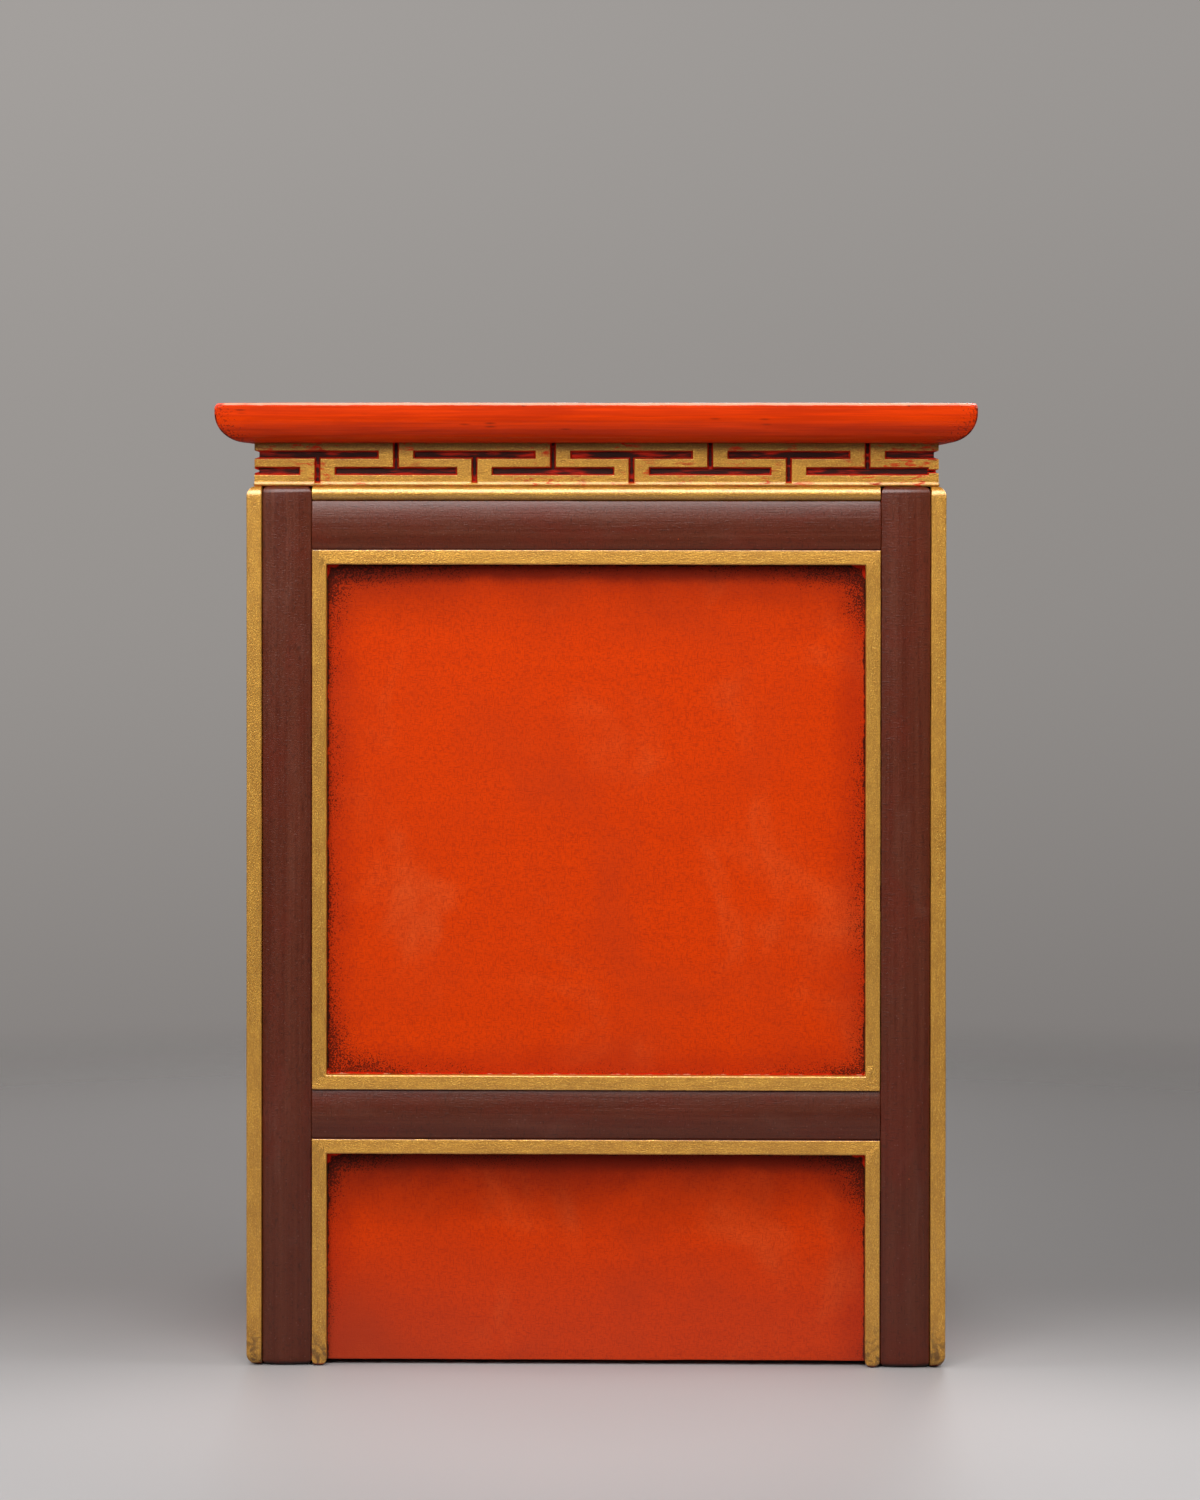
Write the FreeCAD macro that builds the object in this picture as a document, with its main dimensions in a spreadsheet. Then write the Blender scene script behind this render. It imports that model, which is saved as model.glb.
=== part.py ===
import FreeCAD, Part
import os
import re
import sys

import Sketcher

# A small post-and-rail cabinet with a moulded top, a carved fret frieze, flat panels in gold
# mouldings and one hinged door. Millimetres. The origin is on the floor under the middle of the
# case. +Z is up and the door faces -Y.

# Driving dimensions: name, value.
DIMENSIONS = [
    # Case
    ("body_width", 435),
    ("body_depth", 435),
    ("case_height", 548),
    ("strip_width", 9.5),
    ("strip_end_radius", 4.5),
    ("strip_edge_radius", 1.2),
    ("band_width", 31),
    ("band_inset", 3),
    ("band_crown", 2),
    ("band_end_chamfer", 2.5),
    # Rails
    ("rail_inset", 3.5),
    ("rail_crown", 1.8),
    ("rail_depth", 25.5),
    ("upper_rail_height", 30.5),
    ("lower_rail_height", 30.5),
    ("lower_rail_base", 141.5),
    ("tenon_length", 15),
    ("tenon_thickness", 8),
    ("tenon_inset", 12),
    ("tenon_shoulder", 6),
    ("tenon_gap", 0.5),
    # Half-round bead
    ("bead_height", 9),
    ("bead_rise", 4.4),
    ("bead_seat_inset", 5),
    ("bead_end_gap", 0.2),
    # Panels and their mouldings
    ("panel_inset", 8.5),
    ("panel_thickness", 10),
    ("panel_tongue", 5),
    ("panel_play", 0.5),
    ("moulding_width", 9.3),
    ("moulding_inset", 1.5),
    ("mitre_gap", 0.1),
    ("apron_floor_gap", 3),
    # Frieze
    ("frieze_height", 27),
    ("frieze_thickness", 15),
    ("frieze_inset", 4.7),
    ("fret_depth", 2.8),
    ("fret_period", 97.8),
    ("fret_lead", 38.8),
    ("fret_slot_length", 76),
    ("fret_slot_height", 4.8),
    ("fret_upper_slot_base", 17.1),
    ("fret_lower_slot_base", 6.8),
    ("fret_bar_width", 3.2),
    # Top
    ("top_thickness", 25),
    ("top_overhang", 20),
    ("top_ovolo_radius", 18),
    ("top_arris_radius", 1.8),
    ("batten_width", 40),
    ("batten_height", 15),
    ("batten_edge_distance", 70),
    # Floor board and shelf
    ("board_thickness", 10),
    ("board_gap", 0.5),
    ("shelf_rise", 172),
    ("cleat_size", 12),
    # Door
    ("door_gap", 1.2),
    ("door_thickness", 14),
    ("door_batten_height", 30),
    ("door_batten_thickness", 10),
    ("door_batten_setback", 25),
    ("door_batten_edge_distance", 40),
    ("stop_depth", 6),
    ("stop_height", 10),
    ("stop_setback", 8),
    ("stop_gap", 0.3),
    # Hinges
    ("hinge_length", 40),
    ("hinge_end_distance", 60),
    ("hinge_leaf_reach", 17),
    ("hinge_leaf_thickness", 1),
    ("knuckle_radius", 2.5),
    ("knuckle_stand_out", 1.3),
    ("knuckle_clearance", 0.3),
    ("knuckle_end_gap", 0.15),
    ("pin_radius", 1.2),
    ("pin_play", 0.05),
    ("pin_tip_radius", 2),
    ("screw_radius", 1.6),
    ("screw_head_radius", 2.9),
    ("screw_length", 13),
    ("screw_setback", 4.5),
    ("screw_spacing", 24),
    # Ring pull
    ("pull_edge_distance", 34),
    ("pull_plate_radius", 13),
    ("pull_plate_thickness", 1.5),
    ("pull_plate_arris", 0.6),
    ("pull_eye_inset", 2.5),
    ("pull_eye_radius", 3.6),
    ("pull_eye_length", 6),
    ("pull_shank_radius", 2.2),
    ("pull_shank_tail", 4),
    ("pull_shank_play", 0.1),
    ("pull_nut_radius", 4.5),
    ("pull_nut_thickness", 3),
    ("ring_wire_radius", 1.5),
    ("ring_radius", 13),
    ("ring_bar_length", 10),
    ("ring_play", 0.05),
    # Catch
    ("catch_height", 40),
    ("catch_width", 12),
    ("catch_depth", 14),
    ("strike_thickness", 1.2),
    ("strike_gap", 0.3),
]

doc = FreeCAD.newDocument("cabinet")
sheet = doc.addObject("Spreadsheet::Sheet", "sizes")
for row, (name, value) in enumerate(DIMENSIONS, start=1):
    sheet.set("A%d" % row, name)
    sheet.set("B%d" % row, str(value))
    sheet.setAlias("B%d" % row, name)
doc.recompute()

ALIASES = {name for name, value in DIMENSIONS}
NODES = {}
# How near two coordinates count as the same.
TOUCH = 1e-6
# How far a slot is drawn past the edge that it runs out of.
RUN_OUT = "5"

# Places and sizes that follow from the driving dimensions, as expressions.
POST = "(strip_width + band_width)"
RAIL_BACK = "(rail_inset + rail_depth)"
LOWER_RAIL_TOP = "(lower_rail_base + lower_rail_height)"
UPPER_RAIL_BASE = "(case_height - bead_height - upper_rail_height)"
TOP_BASE = "(case_height + frieze_height)"
PANEL_BACK = "(panel_inset + panel_thickness)"
DOOR_BASE = "(" + LOWER_RAIL_TOP + " + door_gap)"
DOOR_TOP = "(" + UPPER_RAIL_BASE + " - door_gap)"
DOOR_MIDDLE = "((" + LOWER_RAIL_TOP + " + " + UPPER_RAIL_BASE + ") / 2)"
DOOR_HALF = "(body_width / 2 - " + POST + " - door_gap)"
DOOR_BACK = "(panel_inset + door_thickness)"
DOOR_FACE_Y = "(body_depth / 2)"
HINGE_X = "(body_width / 2 - " + POST + " - door_gap / 2 - hinge_leaf_thickness / 2)"
PULL_X = "(" + DOOR_HALF + " - pull_edge_distance)"

# Each face of the case: its name, its turn about +Z, its width and its distance from the middle.
FACES = {
    "front": (0, "body_width", "body_depth / 2"),
    "right": (90, "body_depth", "body_width / 2"),
    "back": (180, "body_width", "body_depth / 2"),
    "left": (270, "body_depth", "body_width / 2"),
}
# Each face's side of the middle in X and in Y.
FACE_SIDES = {"front": (0, -1), "right": (1, 0), "back": (0, 1), "left": (-1, 0)}
# Each corner: its turn, its side of the middle in X and Y, and the two faces that it carries.
CORNERS = {
    "front_left": (0, -1, -1, ("front", "left")),
    "front_right": (90, 1, -1, ("right", "front")),
    "back_right": (180, 1, 1, ("back", "right")),
    "back_left": (270, -1, 1, ("left", "back")),
}
PANELLED = ("right", "back", "left")


def bind(text):
    """Point each name of a driving dimension at its cell."""
    return re.sub(r"[a-z_]+", lambda m: "sizes." + m[0] if m[0] in ALIASES else m[0], text)


def worth(text):
    """The present value of an expression."""
    return float(sheet.evalExpression(bind(text)))


def tie(item, prop, text):
    """Bind a property of an object to an expression."""
    item.setExpression(prop, bind(text))


def new_body(label):
    body = doc.addObject("PartDesign::Body", label)
    body.Label = label
    NODES[label] = body
    return body


def new_sketch(body, role, offset="0"):
    """A sketch on an origin plane of its body, moved along the plane's normal."""
    sketch = body.newObject("Sketcher::SketchObject", body.Name + "_sketch")
    plane = [item for item in body.Origin.OriginFeatures if item.Role == role][0]
    sketch.AttachmentSupport = (plane, [""])
    sketch.MapMode = "FlatFace"
    tie(sketch, "AttachmentOffset.Base.z", offset)
    return sketch


def outline(sketch, points, crowns=None):
    """A closed outline through points given as expressions.

    crowns maps the number of a side to (x, y, rise, chord): the side bulges towards (x, y).
    """
    crowns = crowns or {}
    first = sketch.GeometryCount
    places = [FreeCAD.Vector(worth(x), worth(y), 0) for x, y in points]
    count = len(points)
    for side in range(count):
        start = places[side]
        end = places[(side + 1) % count]
        if side in crowns:
            x, y, rise, chord = crowns[side]
            top = (start + end) * 0.5 + FreeCAD.Vector(x, y, 0) * worth(rise)
            sketch.addGeometry(Part.Arc(start, top, end), False)
        else:
            sketch.addGeometry(Part.LineSegment(start, end), False)
    starts = []
    for side in range(count):
        arc = sketch.Geometry[first + side]
        flipped = side in crowns and (arc.StartPoint - places[side]).Length > TOUCH
        starts.append(2 if flipped else 1)
    for side in range(count):
        after = (side + 1) % count
        joint = Sketcher.Constraint(
            "Coincident", first + side, 3 - starts[side], first + after, starts[after]
        )
        sketch.addConstraint(joint)
    for side, (x, y) in enumerate(points):
        for kind, text, value in (("DistanceX", x, places[side].x), ("DistanceY", y, places[side].y)):
            place = Sketcher.Constraint(kind, -1, 1, first + side, starts[side], value)
            number = sketch.addConstraint(place)
            tie(sketch, "Constraints[%d]" % number, text)
    for side, (x, y, rise, chord) in crowns.items():
        arc = sketch.Geometry[first + side]
        number = sketch.addConstraint(Sketcher.Constraint("Radius", first + side, arc.Radius))
        tie(sketch, "Constraints[%d]" % number, "(%s)^2 / (8 * %s) + %s / 2" % (chord, rise, rise))


def box_outline(sketch, x_low, y_low, x_high, y_high):
    outline(sketch, [(x_low, y_low), (x_high, y_low), (x_high, y_high), (x_low, y_high)])


def ring_outline(sketch, x, y, radius):
    """A circle about a point given as expressions."""
    middle = FreeCAD.Vector(worth(x), worth(y), 0)
    circle = Part.Circle(middle, FreeCAD.Vector(0, 0, 1), worth(radius))
    number = sketch.addGeometry(circle, False)
    for kind, text, value in (("DistanceX", x, middle.x), ("DistanceY", y, middle.y)):
        place = sketch.addConstraint(Sketcher.Constraint(kind, -1, 1, number, 3, value))
        tie(sketch, "Constraints[%d]" % place, text)
    size = sketch.addConstraint(Sketcher.Constraint("Radius", number, worth(radius)))
    tie(sketch, "Constraints[%d]" % size, radius)


def pad(body, sketch, length, reverse=False, both_ways=False):
    feature = body.newObject("PartDesign::Pad", body.Name + "_pad")
    feature.Profile = sketch
    feature.Reversed = reverse
    if both_ways:
        feature.SideType = "Symmetric"
    tie(feature, "Length", length)
    body.Tip = feature
    return feature


def pocket(body, sketch, length, reverse=False):
    """Cut a sketch into its body, and stop if it takes nothing away."""
    doc.recompute()
    before = body.Shape.Volume
    feature = body.newObject("PartDesign::Pocket", body.Name + "_pocket")
    feature.Profile = sketch
    feature.Reversed = reverse
    tie(feature, "Length", length)
    body.Tip = feature
    doc.recompute()
    if body.Shape.Volume >= before:
        sys.exit(body.Label + ": a pocket cuts nothing")
    return feature


def stand(item, turn, x, y, z="0"):
    """Turn an object about +Z and put its origin at a place given as expressions."""
    item.Placement = FreeCAD.Placement(
        FreeCAD.Vector(0, 0, 0), FreeCAD.Rotation(FreeCAD.Vector(0, 0, 1), turn)
    )
    tie(item, "Placement.Base.x", x)
    tie(item, "Placement.Base.y", y)
    tie(item, "Placement.Base.z", z)


def stand_on_face(item, face, z="0"):
    """Place a piece drawn with x along the face, y inwards from it and z up."""
    turn, width, reach = FACES[face]
    side_x, side_y = FACE_SIDES[face]
    stand(item, turn, "%d * %s" % (side_x, reach), "%d * %s" % (side_y, reach), z)


def stand_on_corner(item, corner):
    """Place a piece drawn with x and y inwards from the case's corner."""
    turn, side_x, side_y, faces = CORNERS[corner]
    stand(item, turn, "%d * body_width / 2" % side_x, "%d * body_depth / 2" % side_y)


def edge_names(shape, wanted):
    """The names of the edges whose middle point passes a test."""
    names = []
    for number, edge in enumerate(shape.Edges, start=1):
        middle = edge.valueAt((edge.FirstParameter + edge.LastParameter) / 2)
        if wanted(middle, edge):
            names.append("Edge%d" % number)
    return names


def dress(body, kind, names, size_name, size):
    """Fillet or chamfer named edges of the body's tip."""
    last = body.Tip
    feature = body.newObject("PartDesign::" + kind, body.Name + "_" + kind.lower())
    feature.Base = (last, names)
    tie(feature, size_name, size)
    body.Tip = feature
    doc.recompute()
    return feature


# Top board: a square board whose under edge is rounded to an ovolo.
def make_top_board():
    body = new_body("top_board")
    sketch = new_sketch(body, "XY_Plane")
    half_width = "body_width / 2 + top_overhang"
    half_depth = "body_depth / 2 + top_overhang"
    box_outline(sketch, "-(%s)" % half_width, "-(%s)" % half_depth, half_width, half_depth)
    pad(body, sketch, "top_thickness")
    doc.recompute()
    low = edge_names(body.Shape, lambda middle, edge: abs(middle.z) < TOUCH)
    dress(body, "Fillet", low, "Radius", "top_ovolo_radius")
    high = edge_names(body.Shape, lambda middle, edge: abs(middle.z - worth("top_thickness")) < TOUCH)
    dress(body, "Fillet", high, "Radius", "top_arris_radius")
    stand(body, 0, "0", "0", TOP_BASE)


# Top battens: two bars under the top board, between the front and back frieze boards.
def make_top_battens():
    body = new_body("top_battens")
    sketch = new_sketch(body, "XY_Plane")
    half = "(body_depth / 2 - frieze_inset - frieze_thickness)"
    near = "(body_width / 2 - batten_edge_distance - batten_width)"
    far = "(body_width / 2 - batten_edge_distance)"
    box_outline(sketch, near, "-" + half, far, half)
    box_outline(sketch, "-" + far, "-" + half, "-" + near, half)
    pad(body, sketch, "batten_height")
    stand(body, 0, "0", "0", TOP_BASE + " - batten_height")


# Frieze boards: mitred at the corners and carved with interlocking T slots.
def make_frieze(face):
    width = FACES[face][1]
    body = new_body("frieze_" + face)
    outer = "((%s) / 2 - frieze_inset)" % width
    inner = "(%s - frieze_thickness)" % outer
    back = "(frieze_inset + frieze_thickness)"
    plan = new_sketch(body, "XY_Plane")
    outline(
        plan,
        [("-" + outer, "frieze_inset"), (outer, "frieze_inset"), (inner, back), ("-" + inner, back)],
    )
    pad(body, plan, "frieze_height")
    front = new_sketch(body, "XZ_Plane", "-frieze_inset")
    half_slot = "fret_slot_length / 2"
    half_bar = "fret_bar_width / 2"
    upright = "(fret_lead - %s)" % outer
    hanging = "(%s - fret_period / 2)" % upright
    low = "fret_upper_slot_base"
    high = "(fret_upper_slot_base + fret_slot_height)"
    outline(
        front,
        [
            (upright + " - " + half_slot, low),
            (upright + " - " + half_bar, low),
            (upright + " - " + half_bar, "-" + RUN_OUT),
            (upright + " + " + half_bar, "-" + RUN_OUT),
            (upright + " + " + half_bar, low),
            (upright + " + " + half_slot, low),
            (upright + " + " + half_slot, high),
            (upright + " - " + half_slot, high),
        ],
    )
    low = "fret_lower_slot_base"
    high = "(fret_lower_slot_base + fret_slot_height)"
    rim = "(frieze_height + " + RUN_OUT + ")"
    outline(
        front,
        [
            (hanging + " - " + half_slot, low),
            (hanging + " + " + half_slot, low),
            (hanging + " + " + half_slot, high),
            (hanging + " + " + half_bar, high),
            (hanging + " + " + half_bar, rim),
            (hanging + " - " + half_bar, rim),
            (hanging + " - " + half_bar, high),
            (hanging + " - " + half_slot, high),
        ],
    )
    slots = pocket(body, front, "fret_depth")
    row = body.newObject("PartDesign::LinearPattern", body.Name + "_pattern")
    row.Originals = [slots]
    row.Direction = (front, ["H_Axis"])
    row.Mode = "Spacing"
    tie(row, "Offset", "fret_period")
    tie(row, "Occurrences", "floor((%s) / fret_period) + 1" % width)
    body.Tip = row
    stand_on_face(body, face, "case_height")


# Corner posts: round-faced on the two outer sides, with mortises and panel grooves inside.
def make_post(corner):
    faces = CORNERS[corner][3]
    body = new_body("post_" + corner)
    plan = new_sketch(body, "XY_Plane")
    outline(
        plan,
        [
            ("strip_width", "strip_width"),
            ("strip_width", "band_inset"),
            (POST, "band_inset"),
            (POST, POST),
            ("band_inset", POST),
            ("band_inset", "strip_width"),
        ],
        {
            1: (0, -1, "band_crown", "band_width"),
            4: (-1, 0, "band_crown", "band_width"),
        },
    )
    pad(body, plan, "case_height")
    doc.recompute()
    top = worth("case_height")
    rims = edge_names(
        body.Shape, lambda middle, edge: abs(middle.z - top) < TOUCH and hasattr(edge.Curve, "Radius")
    )
    dress(body, "Chamfer", rims, "Size", "band_end_chamfer")
    for number, face in enumerate(faces):
        role = ("YZ_Plane", "XZ_Plane")[number]
        offset = (POST, "-" + POST)[number]
        reverse = number == 1
        mortises = new_sketch(body, role, offset)
        for base, height in (
            ("lower_rail_base", "lower_rail_height"),
            (UPPER_RAIL_BASE, "upper_rail_height"),
        ):
            box_outline(
                mortises,
                "tenon_inset",
                base + " + tenon_shoulder",
                "tenon_inset + tenon_thickness",
                base + " + " + height + " - tenon_shoulder",
            )
        pocket(body, mortises, "tenon_length + tenon_gap", reverse)
        groove = new_sketch(body, role, offset)
        if face in PANELLED:
            box_outline(
                groove,
                "panel_inset",
                LOWER_RAIL_TOP + " - panel_tongue - panel_play",
                PANEL_BACK,
                UPPER_RAIL_BASE + " + panel_tongue + panel_play",
            )
        box_outline(
            groove,
            "panel_inset",
            "apron_floor_gap",
            PANEL_BACK,
            "lower_rail_base + panel_tongue + panel_play",
        )
        pocket(body, groove, "panel_tongue + panel_play", reverse)
    if corner == "front_left":
        drill = new_sketch(body, "YZ_Plane", POST)
        for y, z in screw_places():
            ring_outline(drill, y, z, "screw_radius")
        pocket(body, drill, "screw_length - hinge_leaf_thickness")
    stand_on_corner(body, corner)


# Corner strips: square bars glued into the outer corner of each post, round at both ends.
def make_corner_strip(corner):
    body = new_body("corner_strip_" + corner)
    plan = new_sketch(body, "XY_Plane")
    box_outline(plan, "0", "0", "strip_width", "strip_width")
    pad(body, plan, "case_height")
    doc.recompute()
    ends = edge_names(
        body.Shape,
        lambda middle, edge: min(middle.x, middle.y) < TOUCH
        and min(middle.z, worth("case_height") - middle.z) < TOUCH,
    )
    dress(body, "Fillet", ends, "Radius", "strip_end_radius")
    arris = edge_names(
        body.Shape,
        lambda middle, edge: abs(middle.x - middle.y) < TOUCH
        and middle.x < worth("strip_end_radius")
        and edge.Length > worth("strip_width"),
    )
    dress(body, "Fillet", arris, "Radius", "strip_edge_radius")
    stand_on_corner(body, corner)


def groove_points(edge, depth, forwards):
    """The corners of a panel groove cut into a rail's level edge."""
    points = [
        ("panel_inset", edge),
        ("panel_inset", edge + depth),
        (PANEL_BACK, edge + depth),
        (PANEL_BACK, edge),
    ]
    return points if forwards else points[::-1]


# Rails: round-faced, tenoned into the posts and grooved for the panels above and below them.
def make_rail(face, label, base, height, top_part, groove_above, groove_below):
    width = FACES[face][1]
    body = new_body(label + "_" + face)
    section = new_sketch(body, "YZ_Plane")
    top = "(" + base + " + " + height + ")"
    points = [("rail_inset", base)]
    if groove_below:
        points += groove_points(base, " + panel_tongue + panel_play", True)
    points.append((RAIL_BACK, base))
    if top_part:
        points += [
            (RAIL_BACK, top + " + " + top_part),
            ("bead_seat_inset", top + " + " + top_part),
            ("bead_seat_inset", top),
        ]
    else:
        points.append((RAIL_BACK, top))
        if groove_above:
            points += groove_points(top, " - panel_tongue - panel_play", False)
    points.append(("rail_inset", top))
    last = len(points) - 1
    outline(section, points, {last: (-1, 0, "rail_crown", height)})
    pad(body, section, "(%s) - 2 * %s" % (width, POST), both_ways=True)
    tenon = new_sketch(body, "YZ_Plane")
    box_outline(
        tenon,
        "tenon_inset",
        base + " + tenon_shoulder",
        "tenon_inset + tenon_thickness",
        top + " - tenon_shoulder",
    )
    pad(body, tenon, "(%s) - 2 * %s + 2 * tenon_length" % (width, POST), both_ways=True)
    stand_on_face(body, face)


# Beads: half-round lengths on the upper rails, between the posts.
def make_bead(face):
    width = FACES[face][1]
    body = new_body("bead_" + face)
    section = new_sketch(body, "YZ_Plane")
    points = [("bead_seat_inset", "case_height - bead_height"), ("bead_seat_inset", "case_height")]
    outline(section, points, {1: (-1, 0, "bead_rise", "bead_height")})
    pad(body, section, "(%s) - 2 * %s - 2 * bead_end_gap" % (width, POST), both_ways=True)
    stand_on_face(body, face)


# Upper panels: flat boards whose edges stand in the grooves of the posts and rails.
def make_panel(face):
    width = FACES[face][1]
    body = new_body("panel_" + face)
    half = "((%s) / 2 - %s + panel_tongue)" % (width, POST)
    front = new_sketch(body, "XZ_Plane", "-panel_inset")
    box_outline(
        front,
        "-" + half,
        LOWER_RAIL_TOP + " - panel_tongue",
        half,
        UPPER_RAIL_BASE + " + panel_tongue",
    )
    pad(body, front, "panel_thickness", reverse=True)
    stand_on_face(body, face)


# Aprons: the lower panels, which stop just clear of the floor.
def make_apron(face):
    width = FACES[face][1]
    body = new_body("apron_" + face)
    half = "((%s) / 2 - %s + panel_tongue)" % (width, POST)
    front = new_sketch(body, "XZ_Plane", "-panel_inset")
    box_outline(front, "-" + half, "apron_floor_gap", half, "lower_rail_base + panel_tongue")
    pad(body, front, "panel_thickness", reverse=True)
    stand_on_face(body, face)


def mitred_frame(sketch, half, low, high, open_foot=False):
    """Four mitred lengths round an opening, or three where the foot is open."""
    inner = "(" + half + " - moulding_width)"
    inner_low = "(" + low + " + moulding_width)"
    inner_high = "(" + high + " - moulding_width)"
    level_outer = "(" + half + " - mitre_gap)"
    level_inner = "(" + inner + " - mitre_gap)"
    if open_foot:
        inner_low = low
        levels = [(high, inner_high)]
    else:
        levels = [(low, inner_low), (high, inner_high)]
    for edge, inner_edge in levels:
        outline(
            sketch,
            [
                ("-" + level_outer, edge),
                (level_outer, edge),
                (level_inner, inner_edge),
                ("-" + level_inner, inner_edge),
            ],
        )
    for sign in ("-", ""):
        outline(
            sketch,
            [
                (sign + half, low),
                (sign + inner, inner_low),
                (sign + inner, inner_high),
                (sign + half, high),
            ],
        )


# Mouldings: square lengths against the panels, filling the edge of each opening.
def make_frame_moulding(face):
    width = FACES[face][1]
    body = new_body("frame_moulding_" + face)
    front = new_sketch(body, "XZ_Plane", "-moulding_inset")
    mitred_frame(front, "((%s) / 2 - %s)" % (width, POST), LOWER_RAIL_TOP, UPPER_RAIL_BASE)
    pad(body, front, "panel_inset - moulding_inset", reverse=True)
    stand_on_face(body, face)


def make_apron_moulding(face):
    width = FACES[face][1]
    body = new_body("apron_moulding_" + face)
    front = new_sketch(body, "XZ_Plane", "-moulding_inset")
    mitred_frame(front, "((%s) / 2 - %s)" % (width, POST), "0", "lower_rail_base", open_foot=True)
    pad(body, front, "panel_inset - moulding_inset", reverse=True)
    stand_on_face(body, face)


# Floor board: notched round the four posts, level with the top of the lower rails.
def make_floor_board():
    body = new_body("floor_board")
    wide_x = "(body_width / 2 - %s - board_gap)" % RAIL_BACK
    wide_y = "(body_depth / 2 - %s - board_gap)" % RAIL_BACK
    post_x = "(body_width / 2 - %s - board_gap)" % POST
    post_y = "(body_depth / 2 - %s - board_gap)" % POST
    plan = new_sketch(body, "XY_Plane")
    outline(
        plan,
        [
            ("-" + post_x, "-" + wide_y),
            (post_x, "-" + wide_y),
            (post_x, "-" + post_y),
            (wide_x, "-" + post_y),
            (wide_x, post_y),
            (post_x, post_y),
            (post_x, wide_y),
            ("-" + post_x, wide_y),
            ("-" + post_x, post_y),
            ("-" + wide_x, post_y),
            ("-" + wide_x, "-" + post_y),
            ("-" + post_x, "-" + post_y),
        ],
    )
    pad(body, plan, "board_thickness")
    stand(body, 0, "0", "0", LOWER_RAIL_TOP + " - board_thickness")


# Shelf: reaches the side panels between the posts, and the back panel behind them.
def make_shelf():
    body = new_body("shelf")
    wide_x = "(body_width / 2 - %s - board_gap)" % PANEL_BACK
    wide_y = "(body_depth / 2 - %s - board_gap)" % PANEL_BACK
    post_x = "(body_width / 2 - %s - board_gap)" % POST
    post_y = "(body_depth / 2 - %s - board_gap)" % POST
    plan = new_sketch(body, "XY_Plane")
    outline(
        plan,
        [
            ("-" + wide_x, "-" + post_y),
            (wide_x, "-" + post_y),
            (wide_x, post_y),
            (post_x, post_y),
            (post_x, wide_y),
            ("-" + post_x, wide_y),
            ("-" + post_x, post_y),
            ("-" + wide_x, post_y),
        ],
    )
    pad(body, plan, "board_thickness")
    stand(body, 0, "0", "0", LOWER_RAIL_TOP + " + shelf_rise - board_thickness")


# Cleats: square bars that carry a board at its left and right ends.
def make_cleats(label, back, top):
    body = new_body(label)
    outer = "(body_width / 2 - " + back + ")"
    inner = "(" + outer + " - cleat_size)"
    half = "(body_depth / 2 - %s - board_gap)" % POST
    plan = new_sketch(body, "XY_Plane")
    box_outline(plan, inner, "-" + half, outer, half)
    box_outline(plan, "-" + outer, "-" + half, "-" + inner, half)
    pad(body, plan, "cleat_size")
    stand(body, 0, "0", "0", top + " - board_thickness - cleat_size")


def hinge_places():
    """The middle height of each hinge."""
    return (DOOR_BASE + " + hinge_end_distance", DOOR_TOP + " - hinge_end_distance")


def screw_places():
    """The inset and height of each hinge screw."""
    inset = "hinge_leaf_reach - screw_setback"
    return [
        (inset, middle + sign + "screw_spacing / 2")
        for middle in hinge_places()
        for sign in (" - ", " + ")
    ]


# Door: a board with a mitred moulding on its face and two battens on its back.
def make_door_panel():
    body = new_body("door_panel")
    front = new_sketch(body, "XZ_Plane", "-panel_inset")
    box_outline(front, "-" + DOOR_HALF, DOOR_BASE, DOOR_HALF, DOOR_TOP)
    pad(body, front, "door_thickness", reverse=True)
    recess = new_sketch(body, "YZ_Plane", "-" + DOOR_HALF)
    for middle in hinge_places():
        box_outline(
            recess,
            "moulding_inset",
            middle + " - hinge_length / 2",
            "hinge_leaf_reach",
            middle + " + hinge_length / 2",
        )
    pocket(body, recess, "hinge_leaf_thickness", reverse=True)
    drill = new_sketch(body, "YZ_Plane", "-" + DOOR_HALF)
    for y, z in screw_places():
        ring_outline(drill, y, z, "screw_radius")
    pocket(body, drill, "screw_length", reverse=True)
    shank = new_sketch(body, "XZ_Plane", "-panel_inset")
    ring_outline(shank, PULL_X, DOOR_MIDDLE, "pull_shank_radius + pull_shank_play")
    pocket(body, shank, "door_thickness")
    stand_on_face(body, "front")


def make_door_moulding():
    body = new_body("door_moulding")
    front = new_sketch(body, "XZ_Plane", "-moulding_inset")
    mitred_frame(front, DOOR_HALF, DOOR_BASE, DOOR_TOP)
    pad(body, front, "panel_inset - moulding_inset", reverse=True)
    recess = new_sketch(body, "YZ_Plane", "-" + DOOR_HALF)
    for middle in hinge_places():
        box_outline(
            recess,
            "0",
            middle + " - hinge_length / 2",
            "hinge_leaf_reach",
            middle + " + hinge_length / 2",
        )
    pocket(body, recess, "hinge_leaf_thickness", reverse=True)
    stand_on_face(body, "front")


def make_door_battens():
    body = new_body("door_battens")
    front = new_sketch(body, "XZ_Plane", "-" + DOOR_BACK)
    half = "(" + DOOR_HALF + " - door_batten_setback)"
    low = DOOR_BASE + " + door_batten_edge_distance"
    high = DOOR_TOP + " - door_batten_edge_distance"
    box_outline(front, "-" + half, low, half, low + " + door_batten_height")
    box_outline(front, "-" + half, high + " - door_batten_height", half, high)
    pad(body, front, "door_batten_thickness", reverse=True)
    stand_on_face(body, "front")


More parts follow.
